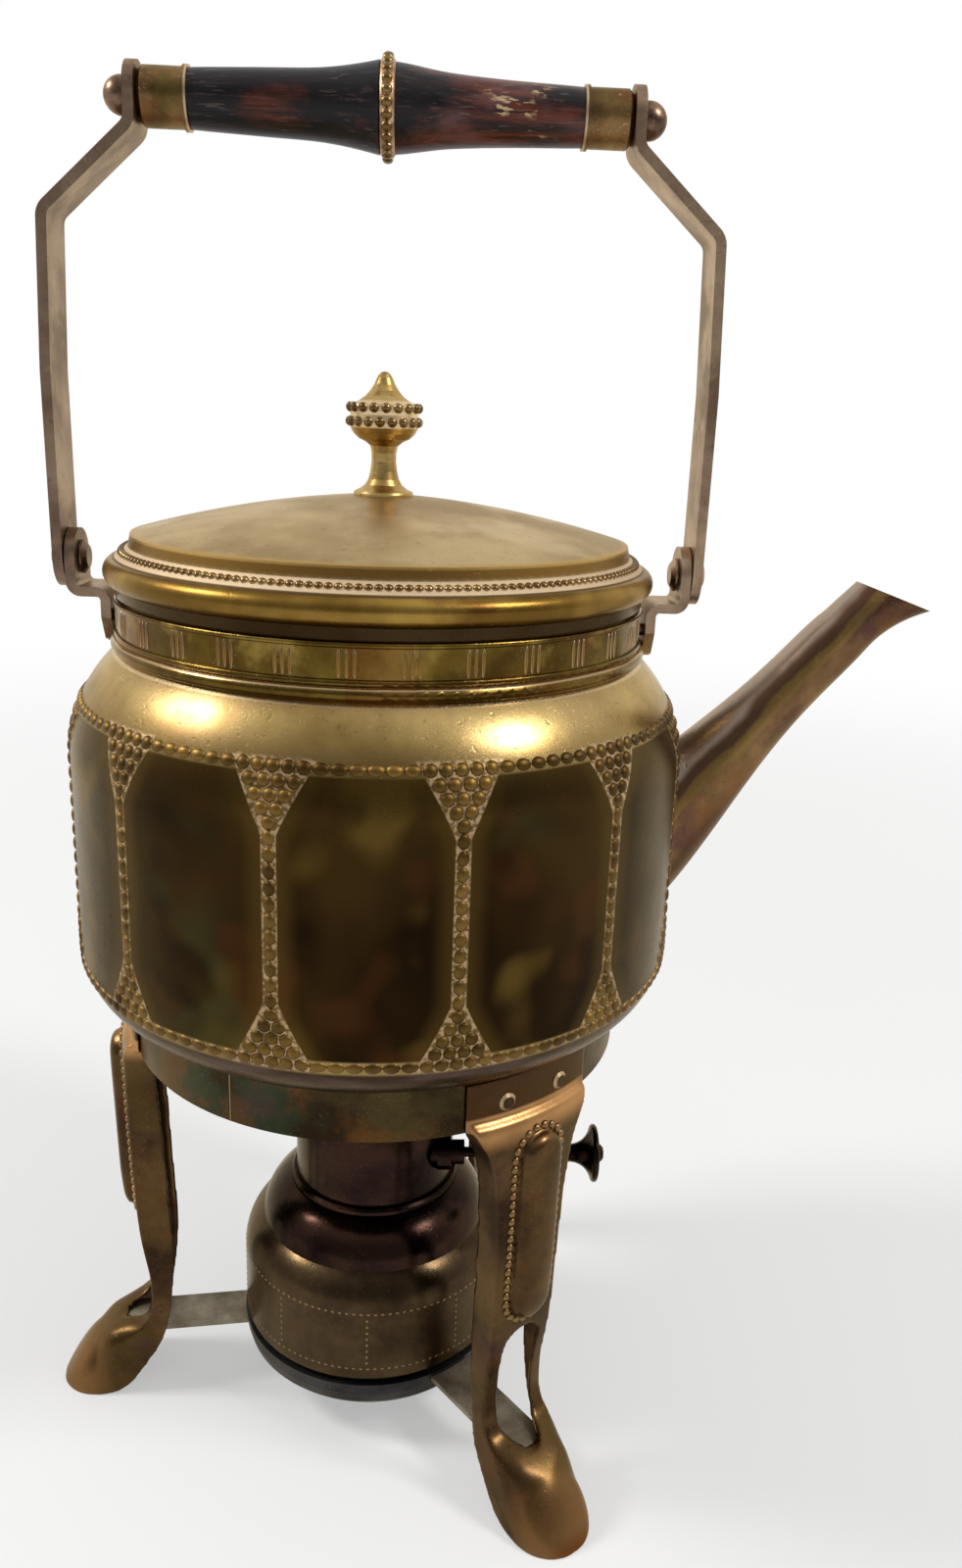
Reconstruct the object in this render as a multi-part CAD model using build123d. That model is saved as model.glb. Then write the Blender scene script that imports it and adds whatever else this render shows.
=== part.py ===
from build123d import *
import math
import os

os.makedirs("parts", exist_ok=True)

# A brass spirit kettle on its three-legged stand, in millimetres.
# +Z is up and z = 0 is the surface under the feet. The kettle's axis is x = y = 0,
# the spout points along +X, and the bail swings about an axis parallel to X.

# ---- sheet and fits ------------------------------------------------------------------
KETTLE_WALL = 1.2
SPOUT_WALL = 1.0
LID_SHEET = 0.9
STAND_SHEET = 1.2
BURNER_WALL = 1.0
RUNNING_GAP = 0.05          # a pin in its bore
SIDE_GAP = 0.35             # faces that pass each other
SEAT_GAP = 0.5              # a part dropped into its seat

# ---- stand ---------------------------------------------------------------------------
STAND_HEIGHT = 137.0        # floor to the ledge that the kettle rests on
RING_INSET = 12.8           # hoop's outside, in from the kettle's wall
RING_WALL = 1.6
RING_HEIGHT = 15.0
RING_LEDGE_WIDTH = 5.5
RING_LEDGE_SHEET = 1.5
LEG_NAMES = ("front", "back", "left")
LEG_FIRST_AZIMUTH = -53.0
# leg lines: heights are shares of the height from the floor to the hoop's lower edge
LEG_FACE = (                # outer face, from hoop to toe: distance outside the hoop, and height
    (3.1, 1.0123), (3.9, 0.9918), (4.0, 0.9262), (3.7, 0.8197), (3.3, 0.6967), (2.7, 0.5574),
    (1.1, 0.4049), (-0.3, 0.3303), (-0.6, 0.2705), (0.2, 0.2213), (2.5, 0.1934), (6.0, 0.1811),
    (13.2, 0.1533), (20.8, 0.1016), (24.9, 0.0557), (27.3, 0.0))
LEG_REAR = (                # free edge of the side walls, from the floor up
    (15.0, 0.0), (6.9, 0.0344), (0.9, 0.0926), (-3.8, 0.1607), (-6.2, 0.2459), (-7.6, 0.377), (-6.9, 0.5541),
    (-6.2, 0.6943), (-5.0, 0.8566), (-3.5, 1.0))
LEG_HALF_WIDTHS = (         # half width and height
    (11.4, 0.0), (11.4, 0.1148), (10.7, 0.2131), (10.3, 0.2951), (10.4, 0.4918), (11.0, 0.7377),
    (12.4, 0.8607), (15.0, 0.9426), (18.5, 1.0), (19.4, 1.0213))
TOE_ROUND = 11.4
TAB_HALF_ANGLE = 16.6
TAB_TOP_DROP = 1.0          # below the top of the hoop
TAB_FOOT_RISE = 2.6         # where the tab runs into the leg, above the hoop's lower edge
WINDOW_HALF_WIDTH = 6.0
WINDOW_BOTTOM = 0.1689      # shares of the hoop's height too, as the ends of the pad are
WINDOW_TOP = 0.4631
PAD_HALF_WIDTH = 6.3        # raised panel pressed into the leg
PAD_BOTTOM = 0.5041
PAD_TOP = 0.9754
PAD_FACE_FOOT = 0.35        # where the line of its face starts, behind the window
PAD_RISE = 2.9
PAD_EDGE = 1.9
LEG_RIVET_ANGLE = 7.2
LEG_RIVET_RISE = 6.8        # above the hoop's lower edge
RIVET_R = 1.6
RIVET_HEAD_R = 2.4
RIVET_HEAD_RISE = 0.7
RIVET_HEAD_CHAMFER = 0.8
PAN_R = 40.4                # plate that the spirit burner stands on
PAN_TAPER = 3.2             # how much its lower edge is drawn in
PAN_TOP = 21.0
PAN_DEPTH = 9.0
PAN_FLARE = ((1.1, 2.4), (0.3, 5.4))    # in from the rim, up from the lower edge
ARM_HALF_WIDTH = 6.5
ARM_SHEET = 1.6
ARM_INNER_R = 27.0
ARM_RIVET_AT = 32.0

# ---- kettle body, heights above its own bottom -------------------------------------------
BODY_R = 82.3
BODY_CORNER_R = 15.0
BODY_WALL_TOP = 68.0
SHOULDER_REACH = 14.1
SHOULDER_RISE = 28.5
NECK_HEIGHT = 15.5
LIP_OVERHANG = 1.0
LIP_HEIGHT = 2.2
BASE_RING_DEPTH = 3.0
BASE_RING_SHEET = 1.4
BAND_SHEET = 0.8
BAND_TOP_DROP = 3.1         # below the rim
BAND_TOP_BEAD = (3.8, 0.7)  # moulding's distance below the rim, and its radius
BAND_LOW_BEADS = ((3.3, 0.8), (0.8, 1.8))   # distance above the neck's foot, and radius

# ---- spout: distance outside the wall, height above the wall's top, half height,
# ---- half width and pitch of each section
SPOUT_SECTIONS = (
    (-6.3, -24.4, 26.6, 15.4, 0.0),
    (-0.3, -20.0, 21.6, 14.0, 4.0),
    (7.3, -10.8, 15.6, 12.0, 16.0),
    (17.1, 2.5, 10.7, 10.0, 36.0),
    (33.1, 21.6, 8.3, 8.2, 49.0),
    (45.4, 35.4, 7.8, 7.4, 51.5),
    (51.2, 41.0, 8.4, 7.0, 60.4),
    (57.4, 44.7, 11.1, 6.5, 70.7))
SPOUT_BARREL = 6            # sections up to where the lip starts to flare
SPOUT_POINTS = 16

# ---- lid -------------------------------------------------------------------------------
LID_DOME_INSET = 3.4        # in from the neck's outside
LID_CROWN = 10.9
LID_BELLY = 1.9             # of the dome, out of a straight cone
LID_STEP = 3.0
LID_STEP_WIDTH = 0.6
LID_SHELF_FALL = 2.8
CURL_R = 3.5
CURL_OFFSET = 0.2           # middle of the rolled edge, outside the neck
CURL_START = 75.0           # degrees, where the shelf runs into the curl
LID_LIP = 2.0               # flat landing inside the rolled edge
LID_FLANGE_REACH = 7.0      # below the rim
KNOB_HEIGHT = 30.4
KNOB_PROFILE = (            # radius and height above the lid
    (7.8, 0.0), (7.6, 0.5), (6.1, 1.2), (4.8, 2.2), (4.0, 3.6), (3.5, 5.6), (3.2, 8.0), (3.2, 10.2),
    (3.6, 12.0), (4.9, 13.0), (6.6, 13.8), (8.0, 15.1), (8.8, 16.5), (9.0, 17.7), (8.9, 18.7), (8.8, 19.7),
    (8.9, 20.7), (8.9, 21.6), (8.0, 22.4), (6.5, 23.2), (4.9, 24.3), (3.7, 25.7), (2.7, 27.2), (2.0, 28.8),
    (1.5, 29.6), (0.8, 30.2))
KNOB_STUD_R = 2.0
KNOB_STUD_PAST_NUT = 1.0
KNOB_STUD_IN_KNOB = 2.0
KNOB_NUT_ACROSS = 7.0
KNOB_NUT_HEIGHT = 3.2
KNOB_NUT_GAP = 0.1

# ---- bail ------------------------------------------------------------------------------
PIVOT_ABOVE_RIM = 4.7
PIVOT_R = 2.0
PIVOT_HEAD_R = 4.4
PIVOT_HEAD_RISE = 1.6
PIVOT_HEAD_EDGE = 0.5
STRAP_SHEET = 2.6
STRAP_WIDTH = 15.5
STRAP_OUTSIDE = ((16.6, 46.3), (15.2, 83.6), (-6.4, 103.2))   # out from the neck, up from the pivot
STRAP_BEND = 3.0
GRIP_ABOVE_PIVOT = 109.4
LUG_SHEET = 2.6
LUG_WIDTH = 15.0
LUG_BEND = 1.2
LUG_ARM_BELOW_PIVOT = 9.5
LUG_LEAF_BELOW_RIM = 17.5
LUG_LEAF_HALF_WIDTH = 6.6
LUG_LEAF_POINT = 1.2
LUG_RIVET_BELOW_RIM = 10.4
ROD_R = 3.0
FERRULE_R = 6.75
FERRULE_LENGTH = 12.0
FERRULE_SHEET = 0.7
FERRULE_LIP = 0.5
FERRULE_ROUND = 1.2
WOOD_END_CHAMFER = 0.6
GRIP_RING_R = 12.0
GRIP_RING_HALF = 2.0
# radius of each wooden grip, and its place as a share of the way from the ring to the ferrule
GRIP_PROFILE_LEFT = (
    (0.0, 10.2), (0.097, 9.3), (0.204, 8.5), (0.31, 7.95), (0.52, 7.5), (0.73, 7.15), (1.0, 6.6))
GRIP_PROFILE_RIGHT = (
    (0.0, 9.9), (0.058, 9.6), (0.235, 8.4), (0.398, 7.75), (0.553, 7.35), (0.819, 6.9), (1.0, 6.6))
NUT_R = 4.5
NUT_LENGTH = 6.0
NUT_HOLD = 4.4              # length of rod inside the nut

# ---- spirit burner, heights above the pan it stands on ------------------------------------
TANK_GAP = 0.4              # tank's wall, in from the pan's rim
TANK_CORNER = 3.0
TANK_WALL_HEIGHT = 23.0
TANK_SEAM_INSET = 5.7
TANK_SEAM_HEIGHT = 34.5
TANK_SHOULDER = (1.5, 6.6)  # a point of its curve: in from the wall, up from the wall's top
COLLAR_R = 24.0
COLLAR_WALL = 1.0
COLLAR_BOTTOM_HEIGHT = 46.5
COLLAR_TOP_HEIGHT = 77.0
COLLAR_FOOT_WIDTH = 1.6
COLLAR_FOOT_HEIGHT = 2.4
COLLAR_FOOT_EDGE = 0.7
COLLAR_TOP_EDGE = 1.5
DOME_BULGE = 1.4            # of the tank's upper half, out of a straight line
CHIMNEY_WIDTH = 3.8         # stepped top of the burner head, outside the wick tube
CHIMNEY_RISE = 6.0
WICK_R = 10.0
WICK_GAP = 0.4
WICK_TUBE_WALL = 0.8
WICK_TUBE_BOTTOM_HEIGHT = 27.0
WICK_TUBE_PROUD = 3.5       # above the chimney
WICK_BOTTOM_HEIGHT = 8.0
WICK_PROUD = 2.0            # above its tube
SHAFT_R = 1.5
SHAFT_HEIGHT = 61.0
SHAFT_START = -5.0
WHEEL_R = 3.0
WHEEL_ROOT_R = 2.4
WHEEL_HALF_LENGTH = 2.0
WHEEL_TEETH = 10
WHEEL_TOOTH_HALF = 0.45
WHEEL_TOOTH_ROOT = 0.3
WHEEL_GAP = 0.4             # teeth to wick
WHEEL_WINDOW_GAP = 0.8
BUSH_R = 3.6
BUSH_PROUD = 3.0            # outside the collar
BUSH_FLANGE_R = 5.2
BUSH_FLANGE_SEAT = 1.0      # flange's face, in from the collar's outermost line
BUSH_FLANGE = 4.0
CONTROL_KNOB_START = 55.5
CONTROL_KNOB_R = 8.4
CONTROL_KNOB_STEM = ((0.0, 3.4), (1.4, 3.4), (3.0, 2.6))     # distance along the shaft and radius
CONTROL_KNOB_FLARE = (6.5, 3.6)
CONTROL_KNOB_RIM = ((9.4, 0.8), (10.5, 0.0), (11.2, 0.9))    # distance along, radius taken off the rim
CONTROL_KNOB_BUTTON = ((11.2, 2.6), (12.4, 2.6), (13.2, 1.8), (13.2, 0.0))

# ---- sizes that follow -----------------------------------------------------------------
NECK_FOOT = BODY_WALL_TOP + SHOULDER_RISE
NECK_R = BODY_R - SHOULDER_REACH
LIP_R = NECK_R + LIP_OVERHANG
BASE_Z = STAND_HEIGHT
WALL_TOP_Z = BASE_Z + BODY_WALL_TOP
NECK_FOOT_Z = BASE_Z + NECK_FOOT
RIM_Z = NECK_FOOT_Z + NECK_HEIGHT
PIVOT_Z = RIM_Z + PIVOT_ABOVE_RIM
GRIP_Z = PIVOT_Z + GRIP_ABOVE_PIVOT
RING_R = BODY_R - RING_INSET
RING_LEDGE_R = RING_R - RING_LEDGE_WIDTH
RING_BOTTOM = STAND_HEIGHT - RING_HEIGHT
LEG_TIP_R = RING_R + LEG_FACE[-1][0]
LEG_CEILING = RING_BOTTOM - STAND_SHEET
LEG_RIVET_Z = RING_BOTTOM + LEG_RIVET_RISE
TAB_FOOT = RING_BOTTOM + TAB_FOOT_RISE
TAB_TOP = STAND_HEIGHT - TAB_TOP_DROP
ARM_TOP = PAN_TOP - STAND_SHEET
CURL_CENTRE_R = NECK_R + CURL_OFFSET
CURL_Z = RIM_Z + CURL_R
CURL_ANGLE = math.radians(CURL_START)
SHELF_FOOT_R = CURL_CENTRE_R + CURL_R * math.cos(CURL_ANGLE)
SHELF_FOOT_Z = CURL_Z + CURL_R * math.sin(CURL_ANGLE)
SHELF_TOP_Z = SHELF_FOOT_Z + LID_SHELF_FALL
LID_DOME_R = NECK_R - LID_DOME_INSET
LID_SHELF_R = LID_DOME_R + LID_STEP_WIDTH
DOME_EDGE_Z = SHELF_TOP_Z + LID_STEP
DOME_TOP_Z = DOME_EDGE_Z + LID_CROWN
DOME_MIDDLE_Z = DOME_EDGE_Z + LID_CROWN / 2 + LID_BELLY
BAND_OUTER_R = NECK_R + BAND_SHEET
BAND_LOWEST, BAND_LOWEST_R = BAND_LOW_BEADS[-1]
STRAP_LINE = [(NECK_R + out, PIVOT_Z + up) for out, up in STRAP_OUTSIDE]
STRAP_FOOT_X = STRAP_LINE[0][0]
STRAP_HEAD_X = STRAP_LINE[-1][0]
LUG_INNER_X = BAND_OUTER_R + BAND_LOWEST_R
LUG_RIVET_Z = RIM_Z - LUG_RIVET_BELOW_RIM
EAR_OUTER_X = STRAP_FOOT_X - STRAP_SHEET - SIDE_GAP
EAR_INNER_X = EAR_OUTER_X - LUG_SHEET
GRIP_HALF = STRAP_HEAD_X - STRAP_SHEET
TANK_R = PAN_R - TANK_GAP
TANK_WALL_TOP = PAN_TOP + TANK_WALL_HEIGHT
TANK_SEAM_R = TANK_R - TANK_SEAM_INSET
TANK_SEAM_Z = PAN_TOP + TANK_SEAM_HEIGHT
COLLAR_BOTTOM = PAN_TOP + COLLAR_BOTTOM_HEIGHT
COLLAR_TOP = PAN_TOP + COLLAR_TOP_HEIGHT
COLLAR_FOOT_R = COLLAR_R + COLLAR_FOOT_WIDTH
WICK_TUBE_IN = WICK_R + WICK_GAP
WICK_TUBE_OUT = WICK_TUBE_IN + WICK_TUBE_WALL
CHIMNEY_R = WICK_TUBE_OUT + CHIMNEY_WIDTH
CHIMNEY_TOP = COLLAR_TOP + CHIMNEY_RISE
WICK_TUBE_TOP = CHIMNEY_TOP + WICK_TUBE_PROUD
SHAFT_Y = -(WICK_R + WHEEL_GAP + WHEEL_R)
SHAFT_Z = PAN_TOP + SHAFT_HEIGHT
SHAFT_END = CONTROL_KNOB_START + CONTROL_KNOB_FLARE[0]
BUSH_START = COLLAR_R / 2
BUSH_END = COLLAR_R + BUSH_PROUD


def save(node, shape):
    export_step(shape, f"parts/{node}.step")


def spun(points):
    """Closed profile of (r, z) points, turned about the Z axis."""
    return revolve(make_face(Polyline(*[(r, 0, z) for r, z in points], close=True)), Axis.Z, 360)


def spun_edges(edges):
    """Closed profile of edges in the XZ plane, turned about the Z axis."""
    return revolve(make_face(edges), Axis.Z, 360)


def tube(r_out, r_in, z_low, z_high):
    return spun([(r_in, z_low), (r_out, z_low), (r_out, z_high), (r_in, z_high)])


def disc(radius, z_low, z_high):
    return Pos(0, 0, z_low) * extrude(Circle(radius), z_high - z_low)


def rod_x(radius, x_low, x_high, y, z):
    """Round bar along X."""
    start = Plane(origin=(x_low, y, z), x_dir=(0, 1, 0), z_dir=(1, 0, 0))
    return extrude(start * Circle(radius), x_high - x_low)


def turned_x(points, y=0.0, z=0.0):
    """Closed profile of (x, r) points, turned about a line along X through (y, z)."""
    face = make_face(Polyline(*[(x, 0, r) for x, r in points], close=True))
    return Pos(0, y, z) * revolve(face, Axis.X, 360)


def turned_x_edges(edges, y=0.0, z=0.0):
    return Pos(0, y, z) * revolve(make_face(edges), Axis.X, 360)


def flat_yz(outline, x_low, x_high):
    """Outline in Y and Z, given thickness from x_low to x_high."""
    return extrude(Plane.YZ.offset(x_low) * outline, x_high - x_low)


def shifted(points, distance):
    """Open line of (a, b) points moved to its left by distance, mitred at each corner."""
    moved = []
    for i, (a, b) in enumerate(points):
        before = points[max(i - 1, 0)]
        after = points[min(i + 1, len(points) - 1)]
        normals = []
        for p, q in ((before, (a, b)), ((a, b), after)):
            length = math.hypot(q[0] - p[0], q[1] - p[1])
            if length > 0:
                normals.append((-(q[1] - p[1]) / length, (q[0] - p[0]) / length))
        n1, n2 = normals[0], normals[-1]
        scale = distance / (1 + n1[0] * n2[0] + n1[1] * n2[1])
        moved.append((a + (n1[0] + n2[0]) * scale, b + (n1[1] + n2[1]) * scale))
    return moved


def bent_sheet(points, sheet, bend, half_width):
    """Strip in the XZ plane: one face runs along points, the sheet lies to their left."""
    outer = [(x, 0, z) for x, z in points]
    inner = [(x, 0, z) for x, z in shifted(points, sheet)]
    outer_radii = []
    inner_radii = []
    for p, q, r in zip(points, points[1:], points[2:]):
        turn = (q[0] - p[0]) * (r[1] - q[1]) - (q[1] - p[1]) * (r[0] - q[0])
        outer_radii.append(bend + sheet if turn > 0 else bend)
        inner_radii.append(bend if turn > 0 else bend + sheet)
    edges = FilletPolyline(*outer, radius=outer_radii).edges()
    edges += FilletPolyline(*inner, radius=inner_radii).edges()
    edges += [Line(outer[0], inner[0]), Line(outer[-1], inner[-1])]
    return extrude(make_face(edges), half_width, both=True)


def on_side(shape, side):
    """The shape itself on the +X side, or turned half round for the -X side."""
    return shape if side > 0 else Rot(0, 0, 180) * shape


def leg_azimuth(index):
    return LEG_FIRST_AZIMUTH + index * 360.0 / len(LEG_NAMES)


# ---- stand: each leg is made pointing along +X ---------------------------------------------

def sector(face, half_angle):
    return Rot(0, 0, -half_angle) * revolve(face, Axis.Z, 2 * half_angle)


def leg_line(points):
    """Leg points as radius and height, from distance outside the hoop and share of its height."""
    return [(RING_R + out, share * RING_BOTTOM) for out, share in points]


def leg_form(inset):
    """Filled leg, its face and side walls inset by the given amount."""
    face_line = [(r, 0, z) for r, z in shifted(leg_line(LEG_FACE), -inset)]
    half_widths = [(0, w - inset, share * RING_BOTTOM) for w, share in LEG_HALF_WIDTHS]
    mirrored = [(0, -w, z) for x, w, z in half_widths]
    if inset > 0:
        below = -2 * inset
        rear = [(ARM_INNER_R, 0, below), (ARM_INNER_R, 0, LEG_CEILING)]
        face_line = [(face_line[1][0], 0, LEG_CEILING)] + face_line[2:-1]
        face_line.append((LEG_TIP_R - inset, 0, below))
        edges = [Line(rear[0], rear[1]), Line(rear[1], face_line[0]), Line(face_line[-1], rear[0])]
    else:
        rear = [(r, 0, z) for r, z in leg_line(LEG_REAR)]
        top = [rear[-1], (RING_R, 0, RING_BOTTOM), (RING_R, 0, TAB_FOOT), (RING_R + STAND_SHEET, 0, TAB_FOOT)]
        edges = [Spline(*rear), Polyline(*top), Line(top[-1], face_line[0]), Line(face_line[-1], rear[0])]
    edges.append(Spline(*face_line))
    body = sector(make_face(edges), 2 * TAB_HALF_ANGLE)
    sides = [Spline(*half_widths), Spline(*mirrored)]
    sides += [Line(half_widths[0], mirrored[0]), Line(half_widths[-1], mirrored[-1])]
    front = extrude(make_face(sides), 2 * BODY_R, dir=(1, 0, 0))
    front += Pos(BODY_R, 0, -TOE_ROUND) * Box(2 * BODY_R, 2 * half_widths[0][1], 2 * TOE_ROUND)
    toe_x = LEG_TIP_R - TOE_ROUND
    plan = Pos(toe_x / 2, 0) * Rectangle(toe_x, 4 * TOE_ROUND) + Pos(toe_x, 0) * Circle(TOE_ROUND - inset)
    return body & front & extrude(plan, 2 * STAND_HEIGHT, both=True)


def pad_form(inset):
    """Raised panel of the leg, filled, inset by the given amount."""
    faces = leg_line([(out, share) for out, share in LEG_FACE if 1 > share > PAD_FACE_FOOT])
    line = [(r, 0, z) for r, z in shifted(faces, PAD_RISE - inset)]
    back = faces[0][0] - PAD_RISE - TOE_ROUND
    corners = [line[-1], (back, 0, line[-1][2]), (back, 0, line[0][2]), line[0]]
    body = sector(make_face([Spline(*line), Polyline(*corners)]), TAB_HALF_ANGLE)
    half = PAD_HALF_WIDTH - inset
    high = PAD_TOP * RING_BOTTOM - inset
    low = PAD_BOTTOM * RING_BOTTOM + inset
    outline = Pos(0, (high - half + low + half) / 2) * Rectangle(2 * half, high - low - 2 * half)
    outline += Pos(0, high - half) * Circle(half) + Pos(0, low + half) * Circle(half)
    return body & flat_yz(outline, 0, 2 * BODY_R)


def softened_pad(inset):
    pad = pad_form(inset)
    rim = pad.faces().sort_by(lambda f: f.center().X)[-1].edges()
    return fillet(rim, PAD_EDGE - inset)


def rivet_bore(radius, azimuth, z, r_low, r_high):
    return Rot(0, 0, azimuth) * rod_x(radius, r_low, r_high, 0, z)


def make_leg():
    leg = leg_form(0) + softened_pad(0)
    leg -= leg_form(STAND_SHEET) + softened_pad(STAND_SHEET)
    tab_profile = [(RING_R, RING_BOTTOM), (RING_R + STAND_SHEET, RING_BOTTOM),
                   (RING_R + STAND_SHEET, TAB_TOP), (RING_R, TAB_TOP)]
    tab_face = make_face(Polyline(*[(r, 0, z) for r, z in tab_profile], close=True))
    leg += sector(tab_face, TAB_HALF_ANGLE)
    high = WINDOW_TOP * RING_BOTTOM
    low = WINDOW_BOTTOM * RING_BOTTOM
    opening = Pos(0, (high + low) / 2) * SlotOverall(high - low, 2 * WINDOW_HALF_WIDTH, rotation=90)
    leg -= flat_yz(opening, PAN_R, 2 * BODY_R)
    for side in (-1, 1):
        leg -= rivet_bore(RIVET_R, side * LEG_RIVET_ANGLE, LEG_RIVET_Z, 0, 2 * BODY_R)
    return leg


def make_stand_ring():
    r_in = RING_R - RING_WALL
    ring = spun([
        (r_in, RING_BOTTOM), (RING_R, RING_BOTTOM), (RING_R, STAND_HEIGHT),
        (RING_LEDGE_R, STAND_HEIGHT), (RING_LEDGE_R, STAND_HEIGHT - RING_LEDGE_SHEET),
        (r_in, STAND_HEIGHT - RING_LEDGE_SHEET)])
    for index in range(len(LEG_NAMES)):
        for side in (-1, 1):
            azimuth = leg_azimuth(index) + side * LEG_RIVET_ANGLE
            ring -= rivet_bore(RIVET_R, azimuth, LEG_RIVET_Z, 0, 2 * BODY_R)
    return ring


def make_leg_rivets():
    inside = RING_R - RING_WALL
    outside = RING_R + STAND_SHEET
    profile = [(inside - RIVET_HEAD_RISE, 0), (inside - RIVET_HEAD_RISE, RIVET_HEAD_R - RIVET_HEAD_CHAMFER),
               (inside, RIVET_HEAD_R), (inside, RIVET_R), (outside, RIVET_R),
               (outside, RIVET_HEAD_R), (outside + RIVET_HEAD_RISE, RIVET_HEAD_R - RIVET_HEAD_CHAMFER),
               (outside + RIVET_HEAD_RISE, 0)]
    ring_wall = tube(RING_R + STAND_SHEET, inside, RING_BOTTOM, STAND_HEIGHT)
    rivet = turned_x(profile, 0, LEG_RIVET_Z)
    heads = rivet - ring_wall
    overlap = RIVET_HEAD_RISE / 3
    rivet = heads + rod_x(RIVET_R, inside - overlap, outside + overlap, 0, LEG_RIVET_Z)
    rivets = []
    for index in range(len(LEG_NAMES)):
        for side in (-1, 1):
            rivets.append(Rot(0, 0, leg_azimuth(index) + side * LEG_RIVET_ANGLE) * rivet)
    return Compound(children=rivets)


def make_arm():
    length = LEG_TIP_R - ARM_INNER_R
    place = Pos(ARM_INNER_R + length / 2, 0, ARM_TOP - ARM_SHEET / 2)
    arm = place * Box(length, 2 * ARM_HALF_WIDTH, ARM_SHEET) & leg_form(STAND_SHEET)
    arm += Pos(ARM_INNER_R, 0, ARM_TOP - ARM_SHEET) * extrude(Circle(ARM_HALF_WIDTH), ARM_SHEET)
    return arm - Pos(ARM_RIVET_AT, 0, 0) * Cylinder(RIVET_R, 4 * PAN_TOP)


def make_pan():
    low = PAN_TOP - PAN_DEPTH
    side = [(PAN_R - PAN_TAPER, low)] + [(PAN_R - inward, low + up) for inward, up in PAN_FLARE]
    side += [(PAN_R, PAN_TOP), (0, PAN_TOP)]
    inside = shifted(side, STAND_SHEET)
    pan = spun(side + inside[::-1])
    for index in range(len(LEG_NAMES)):
        slot = Pos(PAN_R, 0, ARM_TOP - ARM_SHEET / 2) * Box(PAN_R, 2 * ARM_HALF_WIDTH, ARM_SHEET)
        hole = Pos(ARM_RIVET_AT, 0, 0) * Cylinder(RIVET_R, 4 * PAN_TOP)
        pan -= Rot(0, 0, leg_azimuth(index)) * (slot + hole)
    return pan


def make_arm_rivets():
    low = ARM_TOP - ARM_SHEET
    shank = disc(RIVET_R, low, PAN_TOP) + disc(RIVET_HEAD_R, low - RIVET_HEAD_RISE, low)
    places = [Rot(0, 0, leg_azimuth(i)) * Pos(ARM_RIVET_AT, 0, 0) * shank for i in range(len(LEG_NAMES))]
    return Compound(children=places)


# ---- kettle body ------------------------------------------------------------------------------

def body_form(inset):
    """Filled kettle body, inset from its outer skin and open upwards."""
    wall_r = BODY_R - inset
    corner = BODY_CORNER_R - inset
    bottom = BASE_Z + inset
    corner_z = BASE_Z + BODY_CORNER_R
    corner_r = BODY_R - BODY_CORNER_R
    wall_top = WALL_TOP_Z
    shoulder = (SHOULDER_REACH ** 2 + SHOULDER_RISE ** 2) / (2 * SHOULDER_REACH)
    shoulder_x = BODY_R - shoulder
    skin = shoulder - inset
    neck_r = NECK_R - inset
    end = math.acos((neck_r - shoulder_x) / skin)
    neck_z = wall_top + skin * math.sin(end)
    middle = (shoulder_x + skin * math.cos(end / 2), 0, wall_top + skin * math.sin(end / 2))
    corner_middle = (corner_r + corner * math.sqrt(0.5), 0, corner_z - corner * math.sqrt(0.5))
    top = RIM_Z + inset
    return spun_edges([
        Line((0, 0, bottom), (corner_r, 0, bottom)),
        ThreePointArc((corner_r, 0, bottom), corner_middle, (wall_r, 0, corner_z)),
        Line((wall_r, 0, corner_z), (wall_r, 0, wall_top)),
        ThreePointArc((wall_r, 0, wall_top), middle, (neck_r, 0, neck_z)),
        Line((neck_r, 0, neck_z), (neck_r, 0, top)),
        Line((neck_r, 0, top), (0, 0, top)),
        Line((0, 0, top), (0, 0, bottom))])


def spout_plane(out, up, pitch):
    angle = math.radians(pitch)
    axis = (math.cos(angle), 0, math.sin(angle))
    return Plane(origin=(BODY_R + out, 0, WALL_TOP_Z + up), x_dir=(0, 1, 0), z_dir=axis)


def spout_section(place, half_height, half_width):
    """Closed oval in the given plane, always starting from its lowest point."""
    points = []
    for step in range(SPOUT_POINTS):
        angle = 2 * math.pi * step / SPOUT_POINTS
        across = half_width * math.sin(angle)
        points.append(place.from_local_coords((across, -half_height * math.cos(angle), 0)))
    return make_face(Spline(*points, periodic=True))


def spout_form(inset):
    """Filled spout, its section inset."""
    sections = []
    for out, up, half_height, half_width, pitch in SPOUT_SECTIONS:
        place = spout_plane(out, up, pitch)
        sections.append(spout_section(place, half_height - inset, half_width - inset))
    return loft(sections[:SPOUT_BARREL]) + loft(sections[SPOUT_BARREL - 1:])


def lug_rivet_bores():
    bore = rod_x(RIVET_R, 0, 2 * BODY_R, 0, LUG_RIVET_Z)
    return bore + Rot(0, 0, 180) * bore


def make_body():
    body = body_form(0) - body_form(KETTLE_WALL)
    body += tube(LIP_R, NECK_R - KETTLE_WALL, RIM_Z - LIP_HEIGHT, RIM_Z)
    body -= spout_form(SPOUT_WALL)
    return body - lug_rivet_bores()


def make_base_ring():
    r_out = RING_LEDGE_R - SEAT_GAP
    return tube(r_out, r_out - BASE_RING_SHEET, BASE_Z - BASE_RING_DEPTH, BASE_Z)


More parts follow.
